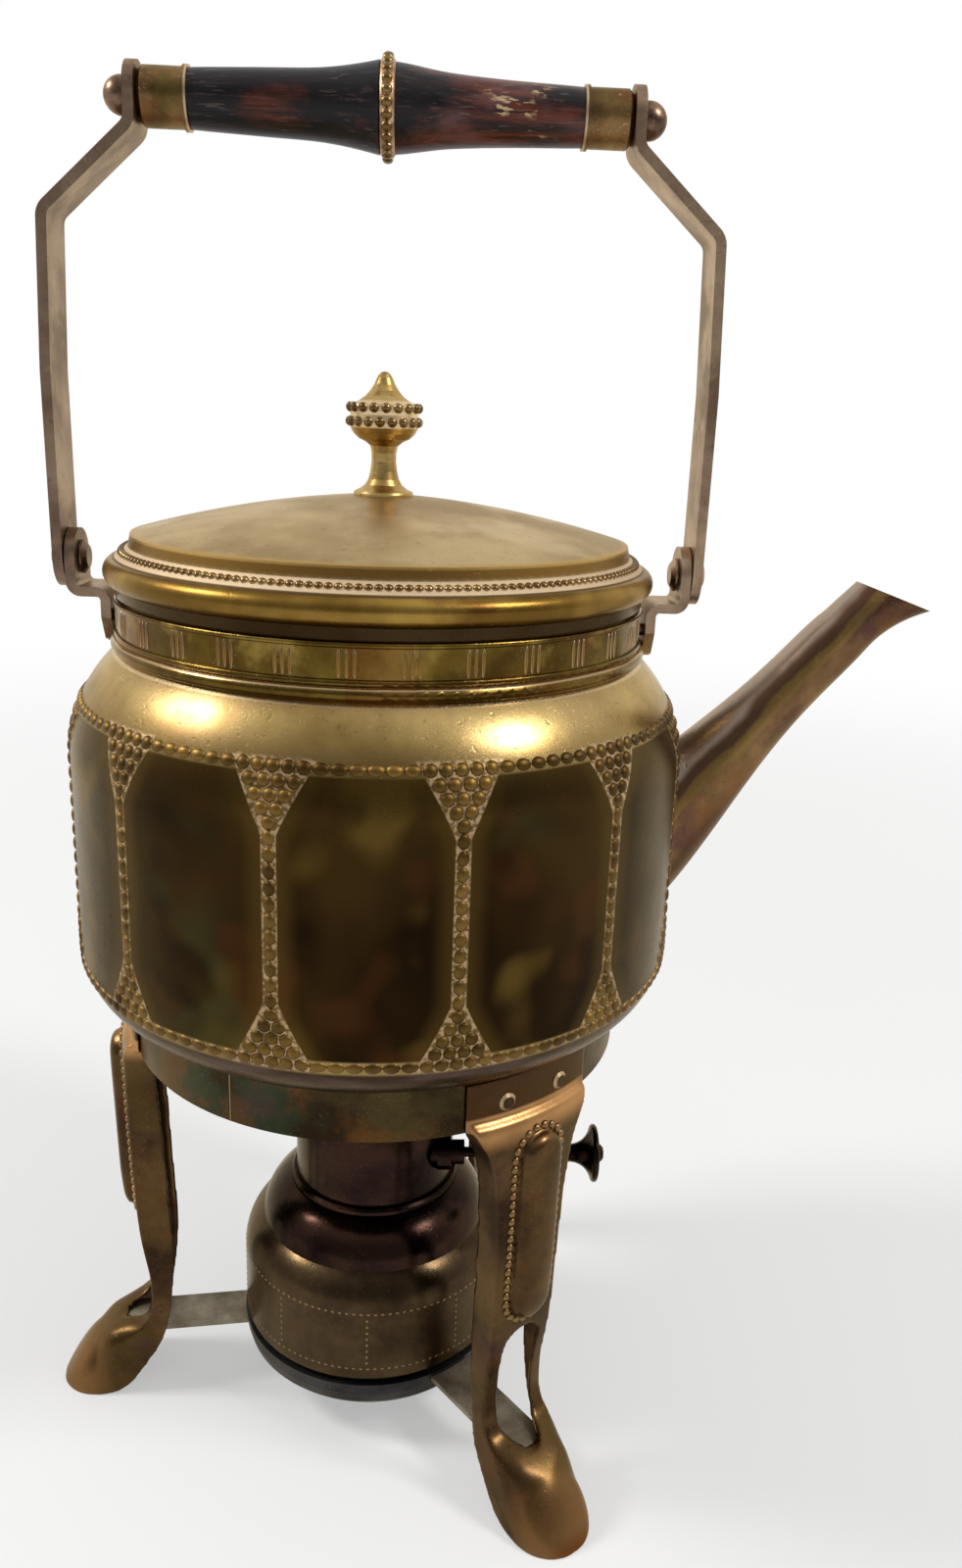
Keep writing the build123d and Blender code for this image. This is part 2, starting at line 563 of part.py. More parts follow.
def make_neck_band():
    band = tube(BAND_OUTER_R, NECK_R, NECK_FOOT_Z + BAND_LOWEST - BAND_LOWEST_R, RIM_Z - BAND_TOP_DROP)
    mouldings = [(NECK_FOOT_Z + up, radius) for up, radius in BAND_LOW_BEADS]
    mouldings.append((RIM_Z - BAND_TOP_BEAD[0], BAND_TOP_BEAD[1]))
    for z, radius in mouldings:
        band += revolve(Plane.XZ * Pos(BAND_OUTER_R, z) * Circle(radius), Axis.Z, 360)
    return band - body_form(0) - lug_rivet_bores()


def make_spout():
    return spout_form(0) - spout_form(SPOUT_WALL) - body_form(0)


# ---- bail lugs ----------------------------------------------------------------------------------

def make_lug(side):
    face_x = LUG_INNER_X + LUG_SHEET
    tip = RIM_Z - LUG_LEAF_BELOW_RIM
    arm_low = PIVOT_Z - LUG_ARM_BELOW_PIVOT
    line = [(face_x, tip), (face_x, arm_low), (EAR_OUTER_X, arm_low), (EAR_OUTER_X, PIVOT_Z + LUG_WIDTH)]
    lug = bent_sheet(line, LUG_SHEET, LUG_BEND, LUG_WIDTH / 2)
    half = LUG_LEAF_HALF_WIDTH
    heel = tip + LUG_LEAF_POINT
    leaf = Polyline((-half, arm_low + LUG_SHEET), (-half, LUG_RIVET_Z), (-half / 2, heel), (0, tip),
                    (half / 2, heel), (half, LUG_RIVET_Z), (half, arm_low + LUG_SHEET), close=True)
    outline = make_face(leaf) + Pos(0, PIVOT_Z) * Circle(LUG_WIDTH / 2)
    outline += Pos(0, (PIVOT_Z + arm_low) / 2) * Rectangle(LUG_WIDTH, PIVOT_Z - arm_low)
    lug &= flat_yz(outline, 0, 2 * BODY_R)
    lug -= rod_x(PIVOT_R + RUNNING_GAP, EAR_INNER_X - 1, EAR_OUTER_X + 1, 0, PIVOT_Z)
    lug -= rod_x(RIVET_R, LUG_INNER_X - 1, face_x + 1, 0, LUG_RIVET_Z)
    return on_side(lug, side)


def make_lug_rivets():
    inside = NECK_R - KETTLE_WALL
    outside = LUG_INNER_X + LUG_SHEET
    top = outside + RIVET_HEAD_RISE
    core = tube(LIP_R, inside, BASE_Z, RIM_Z)
    inner_head = rod_x(RIVET_HEAD_R, inside - RIVET_HEAD_RISE, NECK_R, 0, LUG_RIVET_Z) - core
    rivet = rod_x(RIVET_R, inside - RIVET_HEAD_RISE / 2, outside, 0, LUG_RIVET_Z) + inner_head
    head = [(outside, 0), (outside, RIVET_HEAD_R), (top, RIVET_HEAD_R - RIVET_HEAD_CHAMFER), (top, 0)]
    rivet += turned_x(head, 0, LUG_RIVET_Z)
    return Compound(children=[on_side(rivet, side) for side in (1, -1)])


# ---- bail ---------------------------------------------------------------------------------------

def make_strap(side):
    end = STRAP_WIDTH / 2
    line = [(STRAP_FOOT_X, PIVOT_Z - end)] + STRAP_LINE + [(STRAP_HEAD_X, GRIP_Z + end)]
    strap = bent_sheet(line, STRAP_SHEET, STRAP_BEND, end)
    outline = Pos(0, PIVOT_Z) * Circle(end) + Pos(0, GRIP_Z) * Circle(end)
    outline += Pos(0, (PIVOT_Z + GRIP_Z) / 2) * Rectangle(STRAP_WIDTH, GRIP_Z - PIVOT_Z)
    strap &= flat_yz(outline, 0, 2 * BODY_R)
    strap -= rod_x(PIVOT_R, 0, 2 * BODY_R, 0, PIVOT_Z)
    strap -= rod_x(ROD_R, 0, 2 * BODY_R, 0, GRIP_Z)
    return on_side(strap, side)


def make_pivot_rivets():
    inside = EAR_INNER_X - SIDE_GAP
    outside = STRAP_FOOT_X
    flat = PIVOT_HEAD_R - PIVOT_HEAD_RISE
    head = [(0, PIVOT_R), (0, PIVOT_HEAD_R), (PIVOT_HEAD_EDGE, PIVOT_HEAD_R), (PIVOT_HEAD_RISE, flat),
            (PIVOT_HEAD_RISE, 0)]
    profile = [(inside - out, r) for out, r in head[::-1]] + [(outside + out, r) for out, r in head]
    rivet = turned_x(profile, 0, PIVOT_Z)
    return Compound(children=[on_side(rivet, side) for side in (1, -1)])


def make_grip_rod():
    half = GRIP_HALF + STRAP_SHEET + NUT_HOLD
    return rod_x(ROD_R, -half, half, 0, GRIP_Z)


def make_ferrule(side):
    end = GRIP_HALF
    start = end - FERRULE_LENGTH
    bore = FERRULE_R - FERRULE_SHEET
    lip = FERRULE_R + FERRULE_LIP
    lip_end = start + FERRULE_ROUND
    profile = [(start, bore), (start, lip), (lip_end, lip), (lip_end, FERRULE_R),
               (end - FERRULE_ROUND, FERRULE_R), (end, FERRULE_R - FERRULE_ROUND), (end, ROD_R),
               (end - FERRULE_SHEET, ROD_R), (end - FERRULE_SHEET, bore - WOOD_END_CHAMFER),
               (end - FERRULE_SHEET - WOOD_END_CHAMFER, bore)]
    return on_side(turned_x(profile, 0, GRIP_Z), side)


def make_grip_wood(side):
    bore = FERRULE_R - FERRULE_SHEET
    stations = GRIP_PROFILE_RIGHT if side > 0 else GRIP_PROFILE_LEFT
    end = GRIP_HALF - FERRULE_SHEET
    length = GRIP_HALF - FERRULE_LENGTH - GRIP_RING_HALF
    line = [(GRIP_RING_HALF + share * length, 0, r) for share, r in stations]
    chamfer = WOOD_END_CHAMFER
    foot = [line[-1], (line[-1][0], 0, bore), (end - chamfer, 0, bore), (end, 0, bore - chamfer), (end, 0, ROD_R),
            (line[0][0], 0, ROD_R), line[0]]
    return on_side(turned_x_edges([Spline(*line), Polyline(*foot)], 0, GRIP_Z), side)


def make_grip_ring():
    half = GRIP_RING_HALF
    edge = GRIP_RING_R - half
    rim = [ThreePointArc((-half, 0, edge), (0, 0, GRIP_RING_R), (half, 0, edge)),
           Polyline((half, 0, edge), (half, 0, ROD_R), (-half, 0, ROD_R), (-half, 0, edge))]
    return turned_x_edges(rim, 0, GRIP_Z)


def make_ball_nut(side):
    start = STRAP_HEAD_X
    middle = start + NUT_LENGTH - NUT_R
    rod_end = start + NUT_HOLD
    foot = math.sqrt(NUT_R ** 2 - (NUT_LENGTH - NUT_R) ** 2)
    edges = [ThreePointArc((start, 0, foot), (middle, 0, NUT_R), (start + NUT_LENGTH, 0, 0)),
             Polyline((start + NUT_LENGTH, 0, 0), (rod_end, 0, 0), (rod_end, 0, ROD_R), (start, 0, ROD_R),
                      (start, 0, foot))]
    return on_side(turned_x_edges(edges, 0, GRIP_Z), side)


# ---- lid ------------------------------------------------------------------------------------------

def dome_arc():
    """Radius and height of the centre of the dome's arc, and the arc's radius."""
    ends = LID_DOME_R ** 2 + DOME_EDGE_Z ** 2 - DOME_TOP_Z ** 2
    half = (LID_DOME_R / 2) ** 2 + DOME_MIDDLE_Z ** 2 - DOME_TOP_Z ** 2
    centre_z = (half - ends / 2) / (2 * DOME_MIDDLE_Z - DOME_TOP_Z - DOME_EDGE_Z)
    centre_r = (ends - 2 * centre_z * (DOME_EDGE_Z - DOME_TOP_Z)) / (2 * LID_DOME_R)
    return centre_r, centre_z, math.hypot(centre_r, DOME_TOP_Z - centre_z)


def dome_under(radius, depth):
    """Height of the lid's dome, depth below its outer skin."""
    centre_r, centre_z, arc = dome_arc()
    return centre_z + math.sqrt((arc - depth) ** 2 - (radius - centre_r) ** 2)


def dome_form():
    """Filled dome, down to its edge."""
    edge = (LID_DOME_R, 0, DOME_EDGE_Z)
    return spun_edges([
        ThreePointArc((0, 0, DOME_TOP_Z), (LID_DOME_R / 2, 0, DOME_MIDDLE_Z), edge),
        Polyline(edge, (0, 0, DOME_EDGE_Z), (0, 0, DOME_TOP_Z))])


def make_lid_shell():
    sheet = LID_SHEET
    curl = CURL_R - sheet
    foot_in = (CURL_CENTRE_R + curl * math.cos(CURL_ANGLE), 0, CURL_Z + curl * math.sin(CURL_ANGLE))
    dome_edge_in = LID_DOME_R - sheet
    shelf_in = (LID_SHELF_R - sheet / 2, 0, SHELF_TOP_Z - sheet)
    lip_r = CURL_CENTRE_R - LID_LIP
    edges = [
        ThreePointArc((0, 0, DOME_TOP_Z), (LID_DOME_R / 2, 0, DOME_MIDDLE_Z), (LID_DOME_R, 0, DOME_EDGE_Z)),
        Line((LID_DOME_R, 0, DOME_EDGE_Z), (LID_SHELF_R, 0, SHELF_TOP_Z)),
        Line((LID_SHELF_R, 0, SHELF_TOP_Z), (SHELF_FOOT_R, 0, SHELF_FOOT_Z)),
        ThreePointArc((SHELF_FOOT_R, 0, SHELF_FOOT_Z), (CURL_CENTRE_R + CURL_R, 0, CURL_Z),
                      (CURL_CENTRE_R, 0, RIM_Z)),
        Polyline((CURL_CENTRE_R, 0, RIM_Z), (lip_r, 0, RIM_Z), (lip_r, 0, RIM_Z + sheet),
                 (CURL_CENTRE_R, 0, RIM_Z + sheet)),
        ThreePointArc((CURL_CENTRE_R, 0, RIM_Z + sheet), (CURL_CENTRE_R + curl, 0, CURL_Z), foot_in),
        Line(foot_in, shelf_in),
        Line(shelf_in, (dome_edge_in, 0, dome_under(dome_edge_in, sheet))),
        ThreePointArc((dome_edge_in, 0, dome_under(dome_edge_in, sheet)),
                      (LID_DOME_R / 2, 0, dome_under(LID_DOME_R / 2, sheet)), (0, 0, dome_under(0, sheet))),
        Line((0, 0, dome_under(0, sheet)), (0, 0, DOME_TOP_Z))]
    return spun_edges(edges) - Cylinder(KNOB_STUD_R, 4 * DOME_TOP_Z)


def make_lid_flange():
    r_out = CURL_CENTRE_R - LID_LIP
    r_in = r_out - LID_SHEET
    curl = CURL_R - LID_SHEET
    foot_r = CURL_CENTRE_R + curl * math.cos(CURL_ANGLE)
    foot_z = CURL_Z + curl * math.sin(CURL_ANGLE)
    top_r = LID_SHELF_R - LID_SHEET / 2
    top_z = SHELF_TOP_Z - LID_SHEET
    slope = (foot_z - top_z) / (foot_r - top_r)
    low = RIM_Z - LID_FLANGE_REACH
    return spun([(r_in, low), (r_out, low), (r_out, top_z + slope * (r_out - top_r)),
                 (r_in, top_z + slope * (r_in - top_r))])


def nut_top():
    """The knob's nut is flat and the dome slopes, so its corners come to the sheet first."""
    return dome_under(KNOB_NUT_ACROSS / math.sqrt(3), LID_SHEET) - KNOB_NUT_GAP


def make_knob():
    foot = dome_under(0, 0)
    profile = [(r, foot + h) for r, h in KNOB_PROFILE]
    below = foot - 2 * LID_SHEET
    knob = spun([(0, below), (KNOB_PROFILE[0][0], below)] + profile + [(0, foot + KNOB_HEIGHT)])
    knob -= dome_form()
    stud_low = nut_top() - KNOB_NUT_HEIGHT - KNOB_STUD_PAST_NUT
    return knob + disc(KNOB_STUD_R, stud_low, foot + KNOB_STUD_IN_KNOB)


def make_knob_nut():
    nut = Pos(0, 0, nut_top() - KNOB_NUT_HEIGHT) * extrude(
        RegularPolygon(KNOB_NUT_ACROSS / 2, 6, major_radius=False), KNOB_NUT_HEIGHT)
    return nut - Cylinder(KNOB_STUD_R, 4 * DOME_TOP_Z)


# ---- spirit burner -----------------------------------------------------------------------------------

def tank_form(inset):
    wall = TANK_R - inset
    bottom = PAN_TOP + inset
    corner = TANK_R - TANK_CORNER
    curve = TANK_CORNER - inset
    corner_middle = (corner + curve * math.sqrt(0.5), 0, PAN_TOP + TANK_CORNER - curve * math.sqrt(0.5))
    seam = TANK_SEAM_R - inset
    top = TANK_SEAM_Z
    shoulder = (wall - TANK_SHOULDER[0], 0, TANK_WALL_TOP + TANK_SHOULDER[1])
    return spun_edges([
        Line((0, 0, bottom), (corner, 0, bottom)),
        ThreePointArc((corner, 0, bottom), corner_middle, (wall, 0, PAN_TOP + TANK_CORNER)),
        Line((wall, 0, PAN_TOP + TANK_CORNER), (wall, 0, TANK_WALL_TOP)),
        ThreePointArc((wall, 0, TANK_WALL_TOP), shoulder, (seam, 0, top)),
        Line((seam, 0, top), (0, 0, top)),
        Line((0, 0, top), (0, 0, bottom))])


def make_reservoir():
    return tank_form(0) - tank_form(BURNER_WALL)


def top_form(inset):
    seam = TANK_SEAM_R - inset
    neck = COLLAR_FOOT_R - inset
    high = COLLAR_BOTTOM - inset
    middle = ((seam + neck) / 2 + DOME_BULGE, 0, (TANK_SEAM_Z + high) / 2 + DOME_BULGE)
    return spun_edges([
        Line((0, 0, TANK_SEAM_Z), (seam, 0, TANK_SEAM_Z)),
        ThreePointArc((seam, 0, TANK_SEAM_Z), middle, (neck, 0, high)),
        Line((neck, 0, high), (0, 0, high)),
        Line((0, 0, high), (0, 0, TANK_SEAM_Z))])


def make_reservoir_top():
    return top_form(0) - top_form(BURNER_WALL) - Cylinder(WICK_TUBE_OUT, 4 * COLLAR_TOP)


def make_collar():
    r_in = COLLAR_R - COLLAR_WALL
    foot = COLLAR_BOTTOM + COLLAR_FOOT_HEIGHT
    edge = COLLAR_FOOT_EDGE
    step = COLLAR_TOP_EDGE
    sheet = COLLAR_WALL
    outside = [(COLLAR_FOOT_R - edge / 2, COLLAR_BOTTOM), (COLLAR_FOOT_R, COLLAR_BOTTOM + edge),
               (COLLAR_FOOT_R, foot - edge), (COLLAR_FOOT_R - edge, foot), (COLLAR_R, foot),
               (COLLAR_R, COLLAR_TOP - step), (COLLAR_R - step, COLLAR_TOP), (CHIMNEY_R + step, COLLAR_TOP),
               (CHIMNEY_R, COLLAR_TOP + step), (CHIMNEY_R, CHIMNEY_TOP - sheet),
               (CHIMNEY_R - sheet, CHIMNEY_TOP), (WICK_TUBE_OUT, CHIMNEY_TOP)]
    inside = [(WICK_TUBE_OUT, CHIMNEY_TOP - sheet), (CHIMNEY_R - sheet, CHIMNEY_TOP - sheet),
              (CHIMNEY_R - sheet, COLLAR_TOP + sheet / 2), (CHIMNEY_R - sheet / 2, COLLAR_TOP - sheet),
              (r_in - sheet, COLLAR_TOP - sheet), (r_in, COLLAR_TOP - 2 * sheet)]
    collar = spun([(r_in, COLLAR_BOTTOM)] + outside + inside)
    return collar - rod_x(BUSH_R, BUSH_START, COLLAR_R + sheet, SHAFT_Y, SHAFT_Z)


def make_bush():
    bush = rod_x(BUSH_R, BUSH_START, BUSH_END, SHAFT_Y, SHAFT_Z)
    face = COLLAR_R - BUSH_FLANGE_SEAT
    flange = rod_x(BUSH_FLANGE_R, face - BUSH_FLANGE, face, SHAFT_Y, SHAFT_Z)
    bush += flange - Cylinder(COLLAR_R, 4 * COLLAR_TOP)
    return bush - rod_x(SHAFT_R + RUNNING_GAP, 0, BUSH_END + 1, SHAFT_Y, SHAFT_Z)


def make_wick_tube():
    wick_tube = tube(WICK_TUBE_OUT, WICK_TUBE_IN, PAN_TOP + WICK_TUBE_BOTTOM_HEIGHT, WICK_TUBE_TOP)
    width = 2 * (WHEEL_HALF_LENGTH + WHEEL_WINDOW_GAP)
    height = 2 * (WHEEL_R + WHEEL_WINDOW_GAP)
    window = Pos(0, SHAFT_Y, SHAFT_Z) * Box(width, height, height)
    return wick_tube - window


def make_wick():
    return disc(WICK_R, PAN_TOP + WICK_BOTTOM_HEIGHT, WICK_TUBE_TOP + WICK_PROUD)


def make_shaft():
    return rod_x(SHAFT_R, SHAFT_START, SHAFT_END, SHAFT_Y, SHAFT_Z)


def make_wheel():
    wheel = Circle(WHEEL_ROOT_R)
    root = WHEEL_ROOT_R - WHEEL_TOOTH_ROOT
    for tooth in range(WHEEL_TEETH):
        turn = Rot(0, 0, tooth * 360 / WHEEL_TEETH)
        spike = Polyline((root, -WHEEL_TOOTH_HALF), (WHEEL_R, 0), (root, WHEEL_TOOTH_HALF), close=True)
        wheel += turn * make_face(spike)
    wheel -= Circle(SHAFT_R)
    return Pos(0, SHAFT_Y, SHAFT_Z) * flat_yz(wheel, -WHEEL_HALF_LENGTH, WHEEL_HALF_LENGTH)


def make_control_knob():
    def along(points):
        return [(CONTROL_KNOB_START + distance, 0, r) for distance, r in points]

    stem = along(CONTROL_KNOB_STEM)
    rim = along([(distance, CONTROL_KNOB_R - cut) for distance, cut in CONTROL_KNOB_RIM])
    button = along(CONTROL_KNOB_BUTTON)
    edges = [
        Polyline((SHAFT_END, 0, 0), (SHAFT_END, 0, SHAFT_R), (CONTROL_KNOB_START, 0, SHAFT_R), *stem),
        Spline(stem[-1], *along([CONTROL_KNOB_FLARE]), rim[0]),
        ThreePointArc(*rim),
        Polyline(rim[-1], *button, (SHAFT_END, 0, 0))]
    return turned_x_edges(edges, SHAFT_Y, SHAFT_Z)


# ---- write every piece -----------------------------------------------------------------------------

save("stand_ring", make_stand_ring())
save("leg_rivets", make_leg_rivets())
save("arm_rivets", make_arm_rivets())
save("burner_pan", make_pan())
leg = make_leg()
arm = make_arm()
for index, name in enumerate(LEG_NAMES):
    save(f"leg_{name}", Rot(0, 0, leg_azimuth(index)) * leg)
    save(f"arm_{name}", Rot(0, 0, leg_azimuth(index)) * arm)

save("kettle_body", make_body())
save("base_ring", make_base_ring())
save("neck_band", make_neck_band())
save("spout", make_spout())
save("lug_rivets", make_lug_rivets())

save("lid_shell", make_lid_shell())
save("lid_flange", make_lid_flange())
save("lid_knob", make_knob())
save("knob_nut", make_knob_nut())

save("pivot_rivets", make_pivot_rivets())
save("grip_rod", make_grip_rod())
save("grip_ring", make_grip_ring())
for name, side in (("right", 1), ("left", -1)):
    save(f"lug_{name}", make_lug(side))
    save(f"bail_strap_{name}", make_strap(side))
    save(f"ferrule_{name}", make_ferrule(side))
    save(f"grip_wood_{name}", make_grip_wood(side))
    save(f"ball_nut_{name}", make_ball_nut(side))

save("reservoir", make_reservoir())
save("reservoir_top", make_reservoir_top())
save("burner_collar", make_collar())
save("shaft_bush", make_bush())
save("wick_tube", make_wick_tube())
save("wick", make_wick())
save("regulator_shaft", make_shaft())
save("wick_wheel", make_wheel())
save("regulator_knob", make_control_knob())
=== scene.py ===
# %% [markdown]
# # A brass spirit kettle on its stand
#
# The kettle is pressed from thin brass, rides on a three-legged stand over a spirit burner,
# and is carried by a bail with a turned wooden grip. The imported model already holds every
# solid at its true size, so this lesson only adds what a maker adds last: the embossed
# beads, the reeding on the neck, and above all the finishes, which are old, handled and
# tarnished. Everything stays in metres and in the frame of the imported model.

# %% The frame
import math

import bmesh
import bpy
from mathutils import Matrix, Vector
from mathutils.bvhtree import BVHTree


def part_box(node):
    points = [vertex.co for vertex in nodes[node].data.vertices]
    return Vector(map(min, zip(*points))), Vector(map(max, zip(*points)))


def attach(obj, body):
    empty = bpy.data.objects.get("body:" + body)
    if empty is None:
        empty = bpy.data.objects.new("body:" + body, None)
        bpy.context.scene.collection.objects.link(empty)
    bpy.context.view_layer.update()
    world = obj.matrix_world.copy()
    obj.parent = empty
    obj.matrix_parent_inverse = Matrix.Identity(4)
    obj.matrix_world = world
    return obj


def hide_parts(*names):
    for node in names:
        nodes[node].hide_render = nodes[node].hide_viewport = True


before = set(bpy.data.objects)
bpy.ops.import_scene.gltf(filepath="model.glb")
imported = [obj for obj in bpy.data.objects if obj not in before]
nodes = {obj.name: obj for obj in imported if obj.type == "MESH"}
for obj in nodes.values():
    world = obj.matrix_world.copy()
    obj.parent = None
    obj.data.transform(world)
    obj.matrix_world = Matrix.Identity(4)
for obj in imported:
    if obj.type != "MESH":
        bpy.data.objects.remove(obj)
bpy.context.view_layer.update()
MM = 0.001


def in_scene(name, data):
    """A new object that holds the data, linked into the scene."""
    made = bpy.data.objects.new(name, data)
    bpy.context.scene.collection.objects.link(made)
    return made


# %% [markdown]
# ## The camera
#
# A camera can be placed by eye, or from its height, heading, tilt and lens. Here it stands
# close to the kettle and a little above it, so that upright lines run together strongly.
# Its place is written down as numbers: heading in degrees from +X, tilt below the horizon,
# and a slight roll, which turns its right and up directions about the line of sight.

# %% Camera
CAMERA_PLACE = (11.61, -332.4, 296.2)
CAMERA_HEADING = 87.08
CAMERA_TILT = 17.20
CAMERA_ROLL = 2.17
CAMERA_LENS = 28.26

heading, tilt, roll = (math.radians(a) for a in (CAMERA_HEADING, CAMERA_TILT, CAMERA_ROLL))
forward = Vector((math.cos(heading) * math.cos(tilt), math.sin(heading) * math.cos(tilt), -math.sin(tilt)))
level = Vector((math.sin(heading), -math.cos(heading), 0))
upright = level.cross(forward)
right = math.cos(roll) * level + math.sin(roll) * upright
up = math.cos(roll) * upright - math.sin(roll) * level

camera = in_scene("camera", bpy.data.cameras.new("camera"))
camera.data.sensor_fit = "VERTICAL"
camera.data.sensor_height = 36
camera.data.lens = CAMERA_LENS
camera.data.clip_start = 0.01
camera.matrix_world = Matrix.Translation(Vector(CAMERA_PLACE) * MM) @ Matrix(
    (right, up, -forward)).transposed().to_4x4()
bpy.context.scene.camera = camera
print("camera looks along", [round(v, 3) for v in forward])

# %% [markdown]
# ## A shorthand for finishes
#
# A material is a graph of nodes, and its sums are easier to read as sums. `Amount` wraps a
# socket that carries a number, so that `1 - mask * 0.4` adds the Math nodes by itself.
# `Finish` owns one material: `node` makes any node from its type, its settings and its
# inputs, and the few methods after it name the operations that old metal needs, such as
# a cloud, a patch with soft edges, a rise between two heights, or colours laid over others.

# %% Amounts and finishes


class Amount:
    """A number that varies over the surface."""

    def __init__(self, finish, socket):
        self.finish = finish
        self.socket = socket

    def __add__(self, other):
        return self.finish.maths("ADD", self, other)

    def __sub__(self, other):
        return self.finish.maths("SUBTRACT", self, other)

    def __rsub__(self, other):
        return self.finish.maths("SUBTRACT", other, self)

    def __mul__(self, other):
        return self.finish.maths("MULTIPLY", self, other)

    def __truediv__(self, other):
        return self.finish.maths("DIVIDE", self, other)

    __radd__ = __add__
    __rmul__ = __mul__


def feed(tree, socket, value):
    """A link, or a value, into a socket. A colour of three parts becomes opaque."""
    if isinstance(value, Amount):
        value = value.socket
    if isinstance(value, bpy.types.NodeSocket):
        tree.links.new(value, socket)
    elif isinstance(value, tuple) and socket.type == "RGBA":
        socket.default_value = (*value, 1.0)
    else:
        socket.default_value = value


def add_node(tree, kind, settings=None, inputs=None):
    """Any node, from its type, its settings and its inputs."""
    made = tree.nodes.new(kind)
    for key, value in (settings or {}).items():
        setattr(made, key, value)
    for key, value in (inputs or {}).items():
        feed(tree, made.inputs[key], value)
    return made


class Finish:
    """One material, built up from a principled shader."""

    def __init__(self, name, metallic=1.0):
        self.material = bpy.data.materials.new(name)
        self.material.use_nodes = True
        self.tree = self.material.node_tree
        self.tree.nodes.clear()
        self.shader = self.node("ShaderNodeBsdfPrincipled", inputs={"Metallic": metallic})
        self.output = self.node("ShaderNodeOutputMaterial", inputs={"Surface": self.shader.outputs[0]})
        self.place = self.node("ShaderNodeTexCoord").outputs["Object"]

    def node(self, kind, settings=None, inputs=None):
        return add_node(self.tree, kind, settings, inputs)

    def maths(self, operation, *values):
        made = self.node("ShaderNodeMath", {"operation": operation}, dict(enumerate(values)))
        return Amount(self, made.outputs[0])

    def axes(self):
        made = self.node("ShaderNodeSeparateXYZ", inputs={0: self.place})
        return [Amount(self, made.outputs[i]) for i in range(3)]

    def radius(self):
        """How far from the kettle's upright axis."""
        x, y, z = self.axes()
        return self.maths("SQRT", x * x + y * y)

    def angle(self):
        """How far round that axis, in radians from +X."""
        x, y, z = self.axes()
        return self.maths("ARCTAN2", y, x)

    def spread(self, value, low, high, out_low=0.0, out_high=1.0):
        """The value brought from low..high to out_low..out_high with soft ends."""
        made = self.node("ShaderNodeMapRange", {"interpolation_type": "SMOOTHSTEP"},
                         {0: value, 1: low, 2: high, 3: out_low, 4: out_high})
        return Amount(self, made.outputs[0])

    def rise(self, value, low, high):
        """From 0 at low to 1 at high, both in mm. Where high is the lesser, it falls instead."""
        return self.spread(value, low * MM, high * MM)

    def moved(self, stretch=(1, 1, 1), shift=(0, 0, 0)):
        return self.node("ShaderNodeMapping", inputs={
            "Vector": self.place, "Scale": stretch, "Location": shift}).outputs[0]

    def cloud(self, size, seed=0.0, stretch=(1, 1, 1), detail=3.0, rough=0.55):
        """Noise whose features are about size metres across."""
        made = self.node("ShaderNodeTexNoise", inputs={
            "Vector": self.moved(stretch, (seed, seed * 0.7, -seed)),
            "Scale": 1 / size, "Detail": detail, "Roughness": rough})
        return Amount(self, made.outputs[0])

    def patch(self, size, amount, seed=0.0, edge=0.05, stretch=(1, 1, 1), detail=3.0):
        """Islands of noise: amount 0 leaves none and amount 1 covers all."""
        middle = 0.72 - 0.44 * amount
        return self.spread(self.cloud(size, seed, stretch, detail), middle - edge, middle + edge)

    def over(self, below, *layers):
        """Layers laid in turn over the colour below. A layer is a colour and the share that it covers."""
        for colour, share in layers:
            made = self.node("ShaderNodeMix", {"data_type": "RGBA"}, {0: share, 6: below, 7: colour})
            below = made.outputs[2]
        return below

    def stored(self, name):
        return Amount(self, self.node("ShaderNodeAttribute", {"attribute_name": name}).outputs["Fac"])

    def bump(self, height, depth, strength):
        return self.node("ShaderNodeBump", inputs={
            "Height": height, "Distance": depth, "Strength": strength}).outputs[0]

    def set(self, **values):
        for key, value in values.items():
            feed(self.tree, self.shader.inputs[key.replace("_", " ")], value)

    def fix(self, **values):
        """Constants of the shader that never vary over the surface."""
        for key, value in values.items():
            self.shader.inputs[key.replace("_", " ")].default_value = value


def hue(red, green, blue):
    """A colour given as it looks on a screen, 0 to 255, turned to the linear values of a shader."""
    return tuple(((v / 255 + 0.055) / 1.055) ** 2.4 for v in (red, green, blue))


print("finishes are ready to build")

# %% [markdown]
# ## Old brass
#
# Brass is a metal, so its whole look comes from the colour of its reflections and from how
# sharp they are. New brass is even; old brass is not. Five things happen to it, each at a
# scale of its own: broad clouds where it was rubbed bright or left to tarnish, patches of
# red-brown, olive and faint green where moisture sat, fine pale specks of dried polish,
# hair scratches from a cloth, and pits. One recipe makes all the brass here, and each piece
# of the kettle gets its own colours and amounts, because the real one was polished on the
# shoulder and left alone underneath.

# %% The recipe for tarnished brass
DUST = hue(205, 180, 150)
PIT = hue(34, 24, 16)
RED_BROWN = hue(88, 44, 22)
OLIVE = hue(96, 92, 40)
PLUM = hue(74, 46, 52)
WARM_EDGE = (1.0, 0.9, 0.74, 1.0)


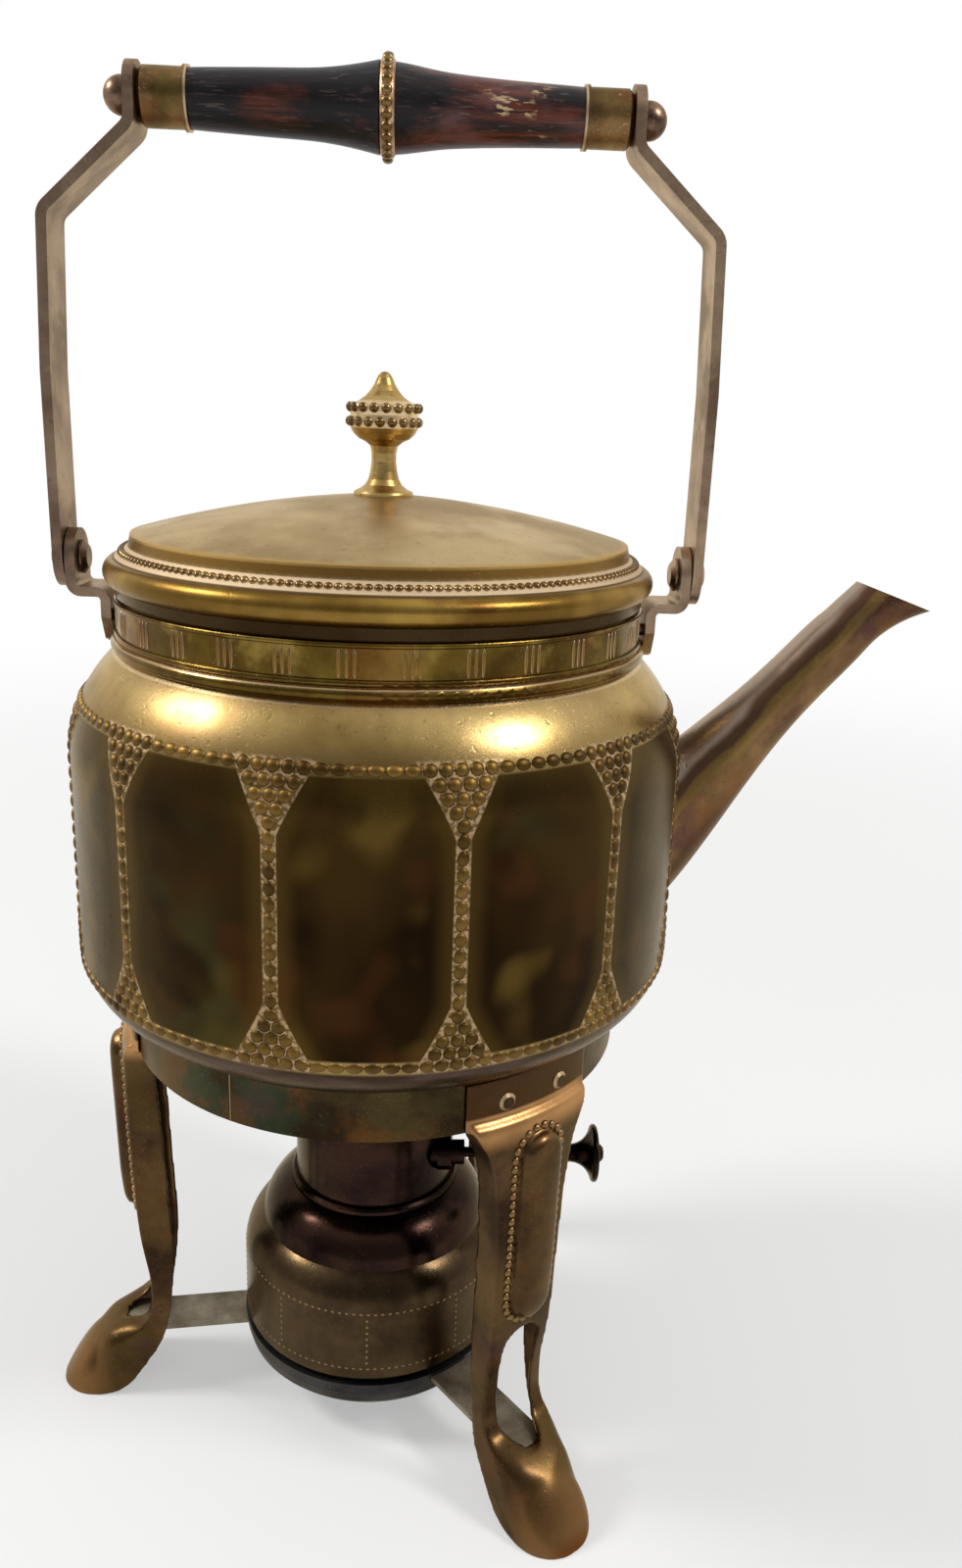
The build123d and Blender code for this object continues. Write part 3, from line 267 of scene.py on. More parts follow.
def old_brass(name, bright, dark, tints=(), rough=0.3, cloud=0.035, balance=0.5, rub=(1, 1, 7),
              specks=0.25, metallic=1.0, seed=0.0):
    """Brass clouded between two colours. Each tint is a colour, a size, an amount and a strength."""
    brass = Finish(name, metallic)
    clouds = brass.patch(cloud, balance, seed, edge=0.16, detail=4.0)
    fine = brass.cloud(cloud / 8, seed + 3, detail=5.0)
    layers = [(bright, clouds * 0.8 + (fine - 0.5) * 0.5)]
    for turn, (tint, size, amount, strength) in enumerate(tints):
        layers.append((tint, brass.patch(size, amount, seed + 7 + 5 * turn, edge=0.07, detail=4.0) * strength))
    hairs = brass.cloud(0.0022, seed + 1, rub, detail=4.0, rough=0.7)
    dried = brass.patch(0.0006, 0.10, seed + 2, edge=0.03, detail=1.0)
    dried = dried * brass.patch(0.008, 0.5, seed + 4, edge=0.12)
    pits = brass.patch(0.0017, 0.06, seed + 9, edge=0.03, detail=1.0)
    layers += [(DUST, brass.spread(hairs, 0.62, 0.78) * 0.10), (DUST, dried * (0.45 * specks))]
    layers += [(PIT, pits * 0.22)]
    brass.colour = brass.over(dark, *layers)
    brass.dull = rough + (1 - clouds) * 0.08 + dried * 0.2 + (hairs - 0.5) * 0.22
    relief = brass.bump(hairs * 0.5 + fine * 0.8 - pits * 0.5, 0.00006, 0.5)
    brass.set(Base_Color=brass.colour, Roughness=brass.dull, Normal=relief)
    brass.fix(Specular_Tint=WARM_EDGE)
    return brass


print("one recipe, and the tints that moisture leaves")

# %% [markdown]
# ## The kettle's body: twelve tarnished panels
#
# The wall of the kettle is divided into twelve tall panels by columns of beads. Inside the
# panels the brass went dark; between the beads dried polish stayed behind, and the shoulder
# above is bright from handling. The panels could be a mask painted by hand, but their shape
# follows a rule, so the mask is worked out from the place on the body: how far round from
# the nearest column, and how high. The columns widen at top and bottom into triangles of
# beads, which gives each panel its pinched corners.

# %% Panels of the body
BODY_R = 82.3
COLUMNS = 12
FIRST_COLUMN = 15.0
TOP_ROW_Z = 220.0
LOW_ROW_Z = 149.7
ROW_STEP = 3.03
BEAD_STEP = 3.5
CLUSTER_ROWS = 5
COLUMN_HALF = 1.5
CLUSTER_HALF = 9.2
PINCH = 1.15
ROW_HALF = 1.2
SHOULDER_Z = 229.0
NECK_Z = 231.4
LIP_Z = 245.4

body_brass = old_brass(
    "body_brass", hue(190, 163, 104), hue(132, 108, 62),
    [(hue(150, 124, 90), 0.05, 0.35, 0.5), (RED_BROWN, 0.03, 0.16, 0.3)],
    rough=0.24, specks=0.9, rub=(3, 3, 9))
z = body_brass.axes()[2]
around = body_brass.angle() * (COLUMNS / (2 * math.pi))
from_column = body_brass.maths("PINGPONG", around - FIRST_COLUMN * COLUMNS / 360, 0.5)
aside = from_column * (2 * math.pi * BODY_R * MM / COLUMNS)
cluster_height = CLUSTER_ROWS * ROW_STEP * MM
to_top = (z - (TOP_ROW_Z * MM - cluster_height)) / cluster_height
to_foot = (LOW_ROW_Z * MM + cluster_height - z) / cluster_height
nearest = body_brass.maths("MAXIMUM", body_brass.maths("MAXIMUM", to_top, to_foot), 0.0)
widening = body_brass.maths("POWER", nearest, PINCH)
into_panel = aside - widening * ((CLUSTER_HALF - COLUMN_HALF) * MM) - COLUMN_HALF * MM
inside = body_brass.rise(into_panel, 0.0, 0.5)
panel = (inside * body_brass.rise(z, TOP_ROW_Z - ROW_HALF, TOP_ROW_Z - ROW_HALF - 0.7)
         * body_brass.rise(z, LOW_ROW_Z + ROW_HALF, LOW_ROW_Z + ROW_HALF + 0.7))
between = ((1 - inside) * body_brass.rise(z, TOP_ROW_Z + ROW_HALF + 1.0, TOP_ROW_Z + ROW_HALF)
           * body_brass.rise(z, LOW_ROW_Z - ROW_HALF - 1.2, LOW_ROW_Z - ROW_HALF - 0.2))
print("panels between", LOW_ROW_Z, "and", TOP_ROW_Z, "mm, every", 360 / COLUMNS, "degrees")

# %% [markdown]
# ### What lies in the panels and between them
#
# The tarnish is a broad cloud of two darks with a stack of stains on it. Each stain is a
# colour, a size in metres, an amount, a strength and a seed. The tarnish is lighter close
# to the beads, where the cloth never reached well, and high up under the shoulder. The
# dried polish between the beads is two browns, mixed very finely.

# %% Tarnish, crumbs and shades
STAINS = ((hue(104, 82, 36), 0.040, 0.20, 0.6, 21), (hue(74, 42, 21), 0.034, 0.28, 0.45, 25),
          (hue(50, 54, 30), 0.040, 0.25, 0.45, 29), (hue(19, 11, 6), 0.036, 0.34, 0.6, 33))
broad = body_brass.patch(0.06, 0.45, 11, 0.2, (1, 1, 0.6))
tarnish = body_brass.over(hue(30, 19, 9), (hue(66, 48, 21), broad))
for tint, size, amount, strength, seed in STAINS:
    tarnish = body_brass.over(tarnish, (tint, body_brass.patch(size, amount, seed, detail=2.0) * strength))
brushed = body_brass.cloud(0.0016, 43, (7, 7, 1), detail=4.0, rough=0.7)
tarnish = body_brass.over(
    tarnish,
    (hue(96, 74, 34), body_brass.rise(into_panel, 6.0, 0.5) * 0.35),
    (hue(92, 70, 32), body_brass.rise(z, TOP_ROW_Z - 17, TOP_ROW_Z) * 0.4),
    (hue(110, 88, 54), body_brass.spread(brushed, 0.6, 0.78) * 0.1))
dusty = body_brass.cloud(0.0012, 47, detail=2.0)
crumbs = body_brass.over(hue(104, 80, 48), (hue(186, 160, 124), body_brass.spread(dusty, 0.4, 0.6)))
foot_stain = body_brass.patch(0.02, 0.4, 51, 0.12, (1, 1, 4))
foot_tone = body_brass.over(hue(44, 31, 30), (hue(74, 58, 58), foot_stain))
neck_dust = body_brass.rise(z, NECK_Z, NECK_Z + 0.4) * body_brass.rise(z, NECK_Z + 1.5, NECK_Z + 1.1)
colour = body_brass.over(
    body_brass.colour,
    (hue(118, 94, 52), body_brass.rise(z, SHOULDER_Z, TOP_ROW_Z) * 0.6),
    (tarnish, panel),
    (crumbs, between * 0.85),
    (foot_tone, body_brass.rise(z, LOW_ROW_Z - ROW_HALF - 0.2, LOW_ROW_Z - ROW_HALF - 1.4) * 0.95),
    # Painted shade: a darker band on the shoulder where it meets the neck.
    (hue(140, 112, 76), body_brass.rise(z, SHOULDER_Z, SHOULDER_Z + 2.5) * 0.3),
    (hue(220, 196, 156), neck_dust * 0.5),
    # Painted shadow: the neck above LIP_Z goes near black, where the lid's rolled rim shades it.
    (hue(34, 19, 9), body_brass.rise(z, LIP_Z, LIP_Z + 0.5) * 0.92))
body_brass.set(Base_Color=colour, Roughness=body_brass.dull + panel * 0.03 + between * 0.2)
print("stains in the panels:", len(STAINS))

# %% [markdown]
# ## Finishes of the other metal parts
#
# The same recipe, with each part's own history: the lid is dusty, the rolled rim and the
# neck band are polished by the hand that lifts it, the spout has gone brown and plum from
# heat, with painted shade under it and a painted reflection along its top, the stand is
# dark and greenish near the flame, and the burner is almost black. The flat arms under the
# burner are a grey alloy that never was polished. Where a tone begins or ends is a height
# or a radius on the kettle, so those are named first, in millimetres.

# %% Lid and neck band
ROLL_TOP_Z = 256.0
SHELF_R = 65.2
STEP_FOOT_Z = 258.9
STEP_TOP_Z = 261.4
BAND_CELLS = 30
BAND_PHASE = 1.7
BAND_SEAM_Z = 235.9

lid_brass = old_brass(
    "lid_brass", hue(192, 170, 128), hue(152, 130, 92),
    [(hue(136, 110, 66), 0.045, 0.4, 0.5), (hue(212, 194, 158), 0.03, 0.3, 0.4)],
    rough=0.36, specks=0.6, rub=(4, 4, 4), seed=2)
radius = lid_brass.radius()
z = lid_brass.axes()[2]
rolled = lid_brass.rise(z, ROLL_TOP_Z + 0.3, ROLL_TOP_Z - 0.3)
shelf = lid_brass.rise(radius, SHELF_R, SHELF_R + 0.3) * (1 - rolled)
dome = (1 - shelf) * (1 - rolled)
# Painted highlight: a golden band round the dome's outer rim, standing in for the light caught by a rolled
# edge.
dome_rim_highlight = lid_brass.rise(radius, SHELF_R - 2.3, SHELF_R - 1.2) * dome
step_wall = lid_brass.rise(radius, SHELF_R - 0.8, SHELF_R - 0.4) * dome
# Painted shade: a dark line in the groove between the shelf and the rolled rim.
groove_shade = lid_brass.rise(radius, SHELF_R + 3.5, SHELF_R + 3.9) * lid_brass.rise(z, ROLL_TOP_Z - 0.4, ROLL_TOP_Z)
roll_tone = lid_brass.over(
    hue(104, 78, 32),
    (hue(160, 128, 62), lid_brass.patch(0.03, 0.45, 51, 0.15)),
    (RED_BROWN, lid_brass.patch(0.02, 0.2, 53, 0.06) * 0.5))
# Painted light on the step's upright wall: painted shade at its foot, brown in the middle and a painted
# highlight along its top.
step_shade_and_highlight = lid_brass.over(
    hue(62, 42, 20),
    (hue(118, 86, 38), lid_brass.rise(z, STEP_FOOT_Z, STEP_FOOT_Z + 0.5)),
    (hue(178, 144, 82), lid_brass.rise(z, STEP_TOP_Z - 0.5, STEP_TOP_Z)))
colour = lid_brass.over(
    lid_brass.colour,
    (roll_tone, rolled),
    (hue(212, 190, 158), shelf * 0.8),
    (hue(184, 148, 84), dome_rim_highlight * 0.7),
    (step_shade_and_highlight, step_wall * 0.9),
    (hue(58, 40, 24), groove_shade * 0.8))
lid_brass.set(Base_Color=colour, Roughness=lid_brass.dull + shelf * 0.15 - rolled * 0.1)

band_brass = old_brass(
    "band_brass", hue(124, 102, 42), hue(70, 51, 20),
    [(RED_BROWN, 0.018, 0.3, 0.55), (hue(176, 150, 78), 0.02, 0.3, 0.45)],
    rough=0.18, specks=0.35, seed=4)
z = band_brass.axes()[2]
turns = band_brass.angle() * (BAND_CELLS / (2 * math.pi)) - BAND_PHASE * BAND_CELLS / 360
cell_noise = band_brass.node("ShaderNodeTexWhiteNoise", {"noise_dimensions": "1D"},
                             {"W": band_brass.maths("FLOOR", turns)})
cell_tint = band_brass.spread(Amount(band_brass, cell_noise.outputs["Value"]), 0.7, 0.95)
seam = (band_brass.rise(z, BAND_SEAM_Z - 0.7, BAND_SEAM_Z - 0.2)
        * band_brass.rise(z, BAND_SEAM_Z + 0.7, BAND_SEAM_Z + 0.2))
band_brass.set(Base_Color=band_brass.over(
    band_brass.colour, (hue(92, 50, 24), cell_tint * 0.5), (hue(196, 170, 132), seam * 0.6)))
print("lid and neck band done")

# %% Spout, bail, grip fittings and knob
SPOUT_LINE_FROM = (99.4, 207.5)
SPOUT_LINE_UP = (-0.758, 0.652)
CROWN_LOW_Z = 288.6
CROWN_HIGH_Z = 296.2

spout_brass = old_brass(
    "spout_brass", hue(144, 112, 76), hue(92, 66, 46),
    [(PLUM, 0.022, 0.3, 0.5), (hue(120, 76, 40), 0.03, 0.35, 0.5), (hue(98, 92, 52), 0.025, 0.22, 0.45)],
    rough=0.3, cloud=0.028, rub=(1, 6, 1), seed=6)
x, y, z = spout_brass.axes()
lift = (x - SPOUT_LINE_FROM[0] * MM) * SPOUT_LINE_UP[0] + (z - SPOUT_LINE_FROM[1] * MM) * SPOUT_LINE_UP[1]
lift = lift + (spout_brass.cloud(0.03, 71, detail=3.0) - 0.5) * 0.006
# Bands by height above the spout's axis line: painted shade darkens the underside, a golden streak and a plum
# line run along the middle, and a painted reflection makes the top pale.
spout_brass.set(Base_Color=spout_brass.over(
    spout_brass.colour,
    (hue(78, 52, 36), spout_brass.rise(lift, -5.5, -9.0) * 0.6),
    (hue(150, 122, 68), spout_brass.rise(lift, 0.0, 1.6) * 0.55),
    (hue(76, 48, 50), spout_brass.rise(lift, 3.0, 4.2) * 0.7),
    (hue(196, 178, 160), spout_brass.rise(lift, 5.5, 7.5) * 0.6)))

bail_brass = old_brass(
    "bail_brass", hue(182, 156, 130), hue(118, 96, 78),
    [(hue(72, 58, 52), 0.02, 0.26, 0.45), (hue(196, 170, 140), 0.012, 0.25, 0.5)],
    rough=0.33, cloud=0.022, rub=(6, 6, 1), specks=0.4, seed=8)
# Painted dark reflection: the brass turns darker towards the left strap.
left_dark_reflection = bail_brass.rise(bail_brass.axes()[0], 20, -20)
bail_brass.set(Base_Color=bail_brass.over(bail_brass.colour, (hue(96, 78, 68), left_dark_reflection * 0.35)))

ferrule_brass = old_brass(
    "ferrule_brass", hue(140, 110, 70), hue(86, 66, 42),
    [(hue(124, 76, 42), 0.012, 0.3, 0.4), (OLIVE, 0.01, 0.25, 0.3)],
    rough=0.34, cloud=0.012, rub=(1, 7, 7), specks=1.2, seed=10)
ferrule_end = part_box("ferrule_right")[0][0] / MM
from_middle = ferrule_brass.maths("ABSOLUTE", ferrule_brass.axes()[0])
wood_side = ferrule_brass.rise(from_middle, ferrule_end + 0.7, ferrule_end + 0.4)
ferrule_brass.set(Base_Color=ferrule_brass.over(ferrule_brass.colour, (hue(206, 184, 150), wood_side * 0.7)))

knob_brass = old_brass(
    "knob_brass", hue(206, 178, 118), hue(160, 128, 70),
    [(hue(122, 84, 44), 0.01, 0.2, 0.4)],
    rough=0.28, cloud=0.014, rub=(2, 2, 9), specks=0.0, seed=12)
z = knob_brass.axes()[2]
crown_rows = (knob_brass.rise(z, CROWN_LOW_Z, CROWN_LOW_Z + 1.0)
              * knob_brass.rise(z, CROWN_HIGH_Z, CROWN_HIGH_Z - 0.8))
knob_brass.set(Base_Color=knob_brass.over(knob_brass.colour, (hue(230, 206, 166), crown_rows * 0.75)))
nut_brass = old_brass(
    "nut_brass", hue(128, 102, 84), hue(66, 48, 40),
    [(hue(150, 120, 96), 0.006, 0.3, 0.5)],
    rough=0.28, cloud=0.008, seed=14)
worn_copper = old_brass(
    "worn_copper", hue(186, 150, 120), hue(120, 88, 62),
    [(hue(208, 176, 146), 0.004, 0.3, 0.6)],
    rough=0.3, cloud=0.005, seed=28)
print("the ferrules' dusty ends start", round(ferrule_end, 1), "mm from the middle")

# %% Stand and burner
RING_SEAM = -119.5
LEG_AZIMUTHS = {"front": -53.0, "back": 67.0, "left": 187.0}
TOE_R = 92.0
TIP_R = 96.5
TAB_Z = 125.4
RIVET_ANGLE = 7.2
RIVET_REACH = 71.5
RIVET_Z = 128.8
RIVET_RIM = 1.5

ring_brass = old_brass(
    "ring_brass", hue(76, 66, 38), hue(42, 31, 20),
    [(hue(48, 62, 46), 0.03, 0.34, 0.6), (hue(96, 60, 30), 0.022, 0.3, 0.6),
     (hue(72, 52, 54), 0.02, 0.22, 0.4)],
    rough=0.3, cloud=0.024, rub=(1, 1, 9), seed=16)
from_seam = ring_brass.maths("ABSOLUTE", ring_brass.angle() - math.radians(RING_SEAM))
ring_brass.set(Base_Color=ring_brass.over(
    ring_brass.colour,
    (hue(24, 16, 10), ring_brass.spread(from_seam, 0.008, 0.004)),
    (hue(150, 130, 96), ring_brass.spread(from_seam, 0.0035, 0.002) * 0.8)))

leg_brass = old_brass(
    "leg_brass", hue(102, 77, 46), hue(50, 35, 24),
    [(hue(78, 62, 32), 0.026, 0.35, 0.5), (PLUM, 0.016, 0.2, 0.4), (hue(84, 52, 34), 0.02, 0.25, 0.5)],
    rough=0.28, cloud=0.03, rub=(5, 5, 1), seed=18)
radius = leg_brass.radius()
z = leg_brass.axes()[2]
# Painted highlight: the foot is lighter towards the toe.
toe = leg_brass.rise(radius, TOE_R - 12, TOE_R) * leg_brass.rise(z, 30, 14)
tip = leg_brass.rise(radius, TIP_R - 3, TIP_R) * leg_brass.rise(z, 9, 2)
tab = leg_brass.rise(z, TAB_Z, TAB_Z + 1)
# Painted highlight: a golden band along the bend under the tab, broken up by a patch.
bend_highlight = leg_brass.rise(z, TAB_Z - 9.4, TAB_Z - 2.9) * (1 - tab)
leg_brass.set(Base_Color=leg_brass.over(
    leg_brass.colour,
    (hue(146, 108, 66), toe * 0.6),
    (hue(112, 62, 30), tip * 0.8),
    (hue(70, 47, 27), tab * 0.75),
    (hue(196, 146, 94), bend_highlight * leg_brass.patch(0.02, 0.7, 61, 0.2) * 0.8)))

rivet_brass = old_brass(
    "rivet_brass", hue(82, 60, 38), hue(50, 36, 26),
    rough=0.34, cloud=0.004, seed=19)
turn = rivet_brass.angle() * (180 / math.pi) - LEG_AZIMUTHS["front"]
across = rivet_brass.maths("PINGPONG", turn, 180 / len(LEG_AZIMUTHS)) - RIVET_ANGLE
across = across * (math.radians(RIVET_REACH) * MM)
above = rivet_brass.axes()[2] - RIVET_Z * MM
off_rivet = rivet_brass.maths("SQRT", across * across + above * above)
rim = rivet_brass.rise(off_rivet, RIVET_RIM, RIVET_RIM + 0.4)
rivet_brass.set(Base_Color=rivet_brass.over(rivet_brass.colour, (hue(196, 166, 124), rim * 0.85)),
                Metallic=1 - rim * 0.6)

arm_metal = old_brass(
    "arm_metal", hue(158, 148, 128), hue(116, 104, 88),
    [(hue(96, 84, 66), 0.012, 0.3, 0.5)],
    rough=0.5, cloud=0.012, rub=(1, 1, 1), metallic=0.8, seed=20)
pan_metal = old_brass(
    "pan_metal", hue(66, 66, 66), hue(40, 40, 44),
    [(hue(84, 76, 64), 0.015, 0.25, 0.4)],
    rough=0.42, cloud=0.018, rub=(1, 1, 8), metallic=0.85, seed=22)
burner_brass = old_brass(
    "burner_brass", hue(58, 40, 32), hue(26, 17, 15),
    [(hue(78, 54, 40), 0.018, 0.2, 0.4), (hue(34, 24, 30), 0.02, 0.3, 0.5)],
    rough=0.2, cloud=0.02, rub=(1, 1, 8), specks=0.1, seed=24)
tank_brass = old_brass(
    "tank_brass", hue(84, 68, 46), hue(54, 41, 29),
    [(hue(72, 58, 36), 0.02, 0.3, 0.5), (hue(56, 40, 35), 0.016, 0.25, 0.4)],
    rough=0.26, cloud=0.02, rub=(1, 1, 8), specks=0.12, seed=26)
print("metals:", len(bpy.data.materials))

# %% [markdown]
# ## The wooden grip and the cotton wick
#
# The grip is turned hardwood that was once stained black. Hands wore the stain through, so
# a red-brown wood shows in long islands that follow the grain, with pale nicks on top. The
# grain is noise squeezed along the grip's axis. A wick is plaited cotton: two waves that
# cross, white but grey with use and charred at the top.

# %% Wood and cotton
SCUFF_X = 31.0
PLAITS = 18
PLAIT_PITCH = 6.0
CHAR_Z = 107.5

wood = Finish("stained_wood", 0.0)
grain = wood.cloud(0.006, 1, (0.14, 1.6, 1.6), detail=6.0, rough=0.65)
worn = wood.patch(0.016, 0.34, 5, 0.08, (0.45, 1, 1), detail=5.0)
streaks = wood.cloud(0.0016, 31, (0.05, 1, 1), detail=6.0, rough=0.7)
x = wood.axes()[0]
hazy = wood.patch(0.014, 0.24, 8, 0.1, (0.7, 1, 1)) * wood.rise(x, -4, 6)
hairs = wood.patch(0.0006, 0.22, 12, 0.04, (0.08, 1, 1), detail=3.0) * wood.patch(0.014, 0.5, 14, 0.1)
from_scuff = wood.maths("ABSOLUTE", x - SCUFF_X * MM)
scuffed = wood.rise(from_scuff, 12, 4) * wood.patch(0.006, 0.35, 18, 0.06, (0.6, 1, 1))
nicks = wood.patch(0.0009, 0.36, 16, 0.04, (0.3, 1, 1), detail=4.0) * scuffed
colour = wood.over(
    hue(9, 8, 13),
    (hue(30, 21, 25), wood.spread(grain, 0.4, 0.66)),
    (wood.over(hue(62, 25, 17), (hue(128, 58, 34), grain)), worn * 0.8),
    (hue(16, 10, 12), wood.spread(grain, 0.5, 0.6) * 0.75),
    (hue(8, 6, 9), wood.spread(streaks, 0.52, 0.6) * 0.7),
    (hue(96, 74, 70), wood.spread(streaks, 0.44, 0.36) * 0.3),
    (hue(112, 82, 84), hazy * 0.45),
    (hue(132, 116, 108), hairs * 0.3),
    (hue(206, 182, 138), nicks * 0.75))
wood.set(Base_Color=colour, Roughness=0.4 - worn * 0.06 + nicks * 0.2,
         Normal=wood.bump(grain + nicks * 0.5, 0.00025, 0.6))
wood.fix(Specular_IOR_Level=0.22, Coat_Weight=0.05, Coat_Roughness=0.25)

cotton = Finish("wick_cotton", 0.0)
z = cotton.axes()[2]
turn = cotton.angle() * PLAITS
lean = z * (2 * math.pi / (PLAIT_PITCH * MM))
weave = cotton.maths("SINE", turn + lean) * cotton.maths("SINE", turn - lean) * 0.5 + 0.5
char = cotton.rise(z, CHAR_Z, CHAR_Z + 1.7)
colour = cotton.over(hue(176, 164, 140), (hue(214, 204, 182), weave), (hue(52, 44, 38), char * 0.8))
cotton.set(Base_Color=colour, Roughness=0.9 - char * 0.1, Normal=cotton.bump(weave, 0.0005, 0.8))
print("wood and cotton done")

# %% [markdown]
# ## Every solid gets its finish
#
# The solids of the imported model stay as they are; only what fills their material slots
# changes. One list by finish makes it easy to see that nothing was forgotten.

# %% Dress the solids
dress = {
    body_brass: ["kettle_body"],
    ring_brass: ["base_ring", "stand_ring"],
    band_brass: ["neck_band"],
    spout_brass: ["spout"],
    lid_brass: ["lid_shell", "lid_flange"],
    knob_brass: ["lid_knob", "knob_nut"],
    bail_brass: ["lug_right", "lug_left", "lug_rivets", "bail_strap_right", "bail_strap_left", "pivot_rivets"],
    ferrule_brass: ["ferrule_right", "ferrule_left"],
    nut_brass: ["ball_nut_right", "ball_nut_left", "grip_rod"],
    worn_copper: ["grip_ring"],
    wood: ["grip_wood_right", "grip_wood_left"],
    leg_brass: ["leg_front", "leg_back", "leg_left"],
    rivet_brass: ["leg_rivets"],
    arm_metal: ["arm_front", "arm_back", "arm_left", "arm_rivets"],
    pan_metal: ["burner_pan"],
    tank_brass: ["reservoir"],
    burner_brass: ["reservoir_top", "burner_collar", "shaft_bush", "wick_tube", "regulator_shaft", "wick_wheel",
                   "regulator_knob"],
    cotton: ["wick"],
}
dressed = set()
for finish, names in dress.items():
    for name in names:
        mesh = nodes[name].data
        mesh.materials.clear()
        mesh.materials.append(finish.material)
        dressed.add(name)
print("dressed", len(dressed), "of", len(nodes), "solids; left:", sorted(set(nodes) - dressed))

# %% [markdown]
# ## Beads as a rule
#
# The beads on this kettle are punched from behind: round ones in triangles, oval ones in
# lines, tiny ones round the lid and down the legs. There are more than a thousand, so they
# are not placed one by one. A cloud of points says where each bead sits, which way it faces,
# which way its long side runs and how big it is, and one Geometry Nodes tree puts a smooth
# bead on every point. Each bead keeps a number, its crown, that runs from -1 under the metal
# to 1 on its top, so a finish can leave dust in the hollows and polish on the tops.

# %% The bead tree
SINK = 0.12


def bead_tree():
    tree = bpy.data.node_groups.new("beads on points", "GeometryNodeTree")
    for label, kind in (("Points", "NodeSocketGeometry"), ("Sides", "NodeSocketInt"),
                        ("Rings", "NodeSocketInt"), ("Finish", "NodeSocketMaterial")):
        tree.interface.new_socket(name=label, in_out="INPUT", socket_type=kind)
    tree.interface.new_socket(name="Beads", in_out="OUTPUT", socket_type="NodeSocketGeometry")

    def node(kind, settings=None, inputs=None):
        return add_node(tree, kind, settings, inputs)

    def stored(label):
        made = node("GeometryNodeInputNamedAttribute", {"data_type": "FLOAT_VECTOR"}, {"Name": label})
        return made.outputs[0]

    start = node("NodeGroupInput").outputs
    ball = node("GeometryNodeMeshUVSphere", inputs={"Segments": start["Sides"], "Rings": start["Rings"]})
    height = node("ShaderNodeSeparateXYZ", inputs={0: node("GeometryNodeInputPosition").outputs[0]}).outputs[2]
    crowned = node("GeometryNodeStoreNamedAttribute", {"data_type": "FLOAT", "domain": "POINT"},
                   {"Geometry": ball.outputs["Mesh"], "Name": "crown", "Value": height})
    facing = node("FunctionNodeAlignRotationToVector", {"axis": "Z"}, {"Vector": stored("facing")})
    turned = node("FunctionNodeAlignRotationToVector", {"axis": "X", "pivot_axis": "Z"},
                  {"Rotation": facing.outputs[0], "Vector": stored("along")})
    placed = node("GeometryNodeInstanceOnPoints", inputs={
        "Points": start["Points"], "Instance": crowned.outputs[0],
        "Rotation": turned.outputs[0], "Scale": stored("size")})
    real = node("GeometryNodeRealizeInstances", inputs={0: placed.outputs[0]})
    smooth = node("GeometryNodeSetShadeSmooth", inputs={"Geometry": real.outputs[0]})
    painted = node("GeometryNodeSetMaterial", inputs={
        "Geometry": smooth.outputs[0], "Material": start["Finish"]})
    node("NodeGroupOutput", inputs={0: painted.outputs[0]})
    return tree


beads_on_points = bead_tree()


def bead_finish(name, hollow, top, edge, rough, grain, seed):
    """One colour in the hollows and one on the tops. Edge is the two crowns that they blend between."""
    finish = Finish(name)
    finish.colour = finish.over(hollow, (top, finish.spread(finish.stored("crown"), *edge)))
    finish.set(Base_Color=finish.colour, Roughness=rough + finish.cloud(0.002, seed) * grain)
    return finish


def bead_piece(name, body, spots, finish, sides, rings):
    """Beads as one plain mesh. A spot is place, facing, along, length, width and rise, in mm."""
    points = bpy.data.meshes.new(name + "_points")
    points.from_pydata([(spot[0] - spot[1] * SINK) * MM for spot in spots], [], [])
    for label, values in (("facing", [spot[1] for spot in spots]), ("along", [spot[2] for spot in spots]),
                          ("size", [Vector((spot[3] / 2, spot[4] / 2, spot[5])) * MM for spot in spots])):
        layer = points.attributes.new(label, "FLOAT_VECTOR", "POINT")
        layer.data.foreach_set("vector", [part for value in values for part in value])
    seeds = in_scene(name + "_points", points)
    modifier = seeds.modifiers.new("beads", "NODES")
    modifier.node_group = beads_on_points
    given = {"Sides": sides, "Rings": rings, "Finish": finish.material}
    for item in beads_on_points.interface.items_tree:
        if item.in_out == "INPUT" and item.name in given:
            modifier[item.identifier] = given[item.name]
    evaluated = seeds.evaluated_get(bpy.context.evaluated_depsgraph_get())
    mesh = bpy.data.meshes.new_from_object(evaluated)
    seeds.modifiers.remove(modifier)
    bpy.data.objects.remove(seeds)
    piece = in_scene(name, mesh)
    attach(piece, body)
    print(name, len(spots), "beads,", len(mesh.polygons), "faces")

# %% [markdown]
# ## Where the beads land
#
# Points on a curved wall could be worked out from its profile again, but then two drawings
# must agree. It is safer to ask the solid itself: a ray sent from outside towards the axis
# says where the skin is and which way it faces. The same helper serves the body, the tank
# and the legs.

# %% Rays to the skin
FAR = 150.0


def skin_of(name):
    mesh = nodes[name].data
    corners = [v.co / MM for v in mesh.vertices]
    return BVHTree.FromPolygons(corners, [tuple(face.vertices) for face in mesh.polygons])


def on_skin(skin, azimuth, height):
    """Where the skin is at an azimuth in degrees and a height in mm, and which way it faces."""
    out = Vector((math.cos(math.radians(azimuth)), math.sin(math.radians(azimuth)), 0))
    place, facing = skin.ray_cast(out * FAR + Vector((0, 0, height)), -out)[:2]
    return place, facing if facing.dot(out) > 0 else -facing


def skin_radius(skin, azimuth, height):
    return math.hypot(*on_skin(skin, azimuth, height)[0][:2])


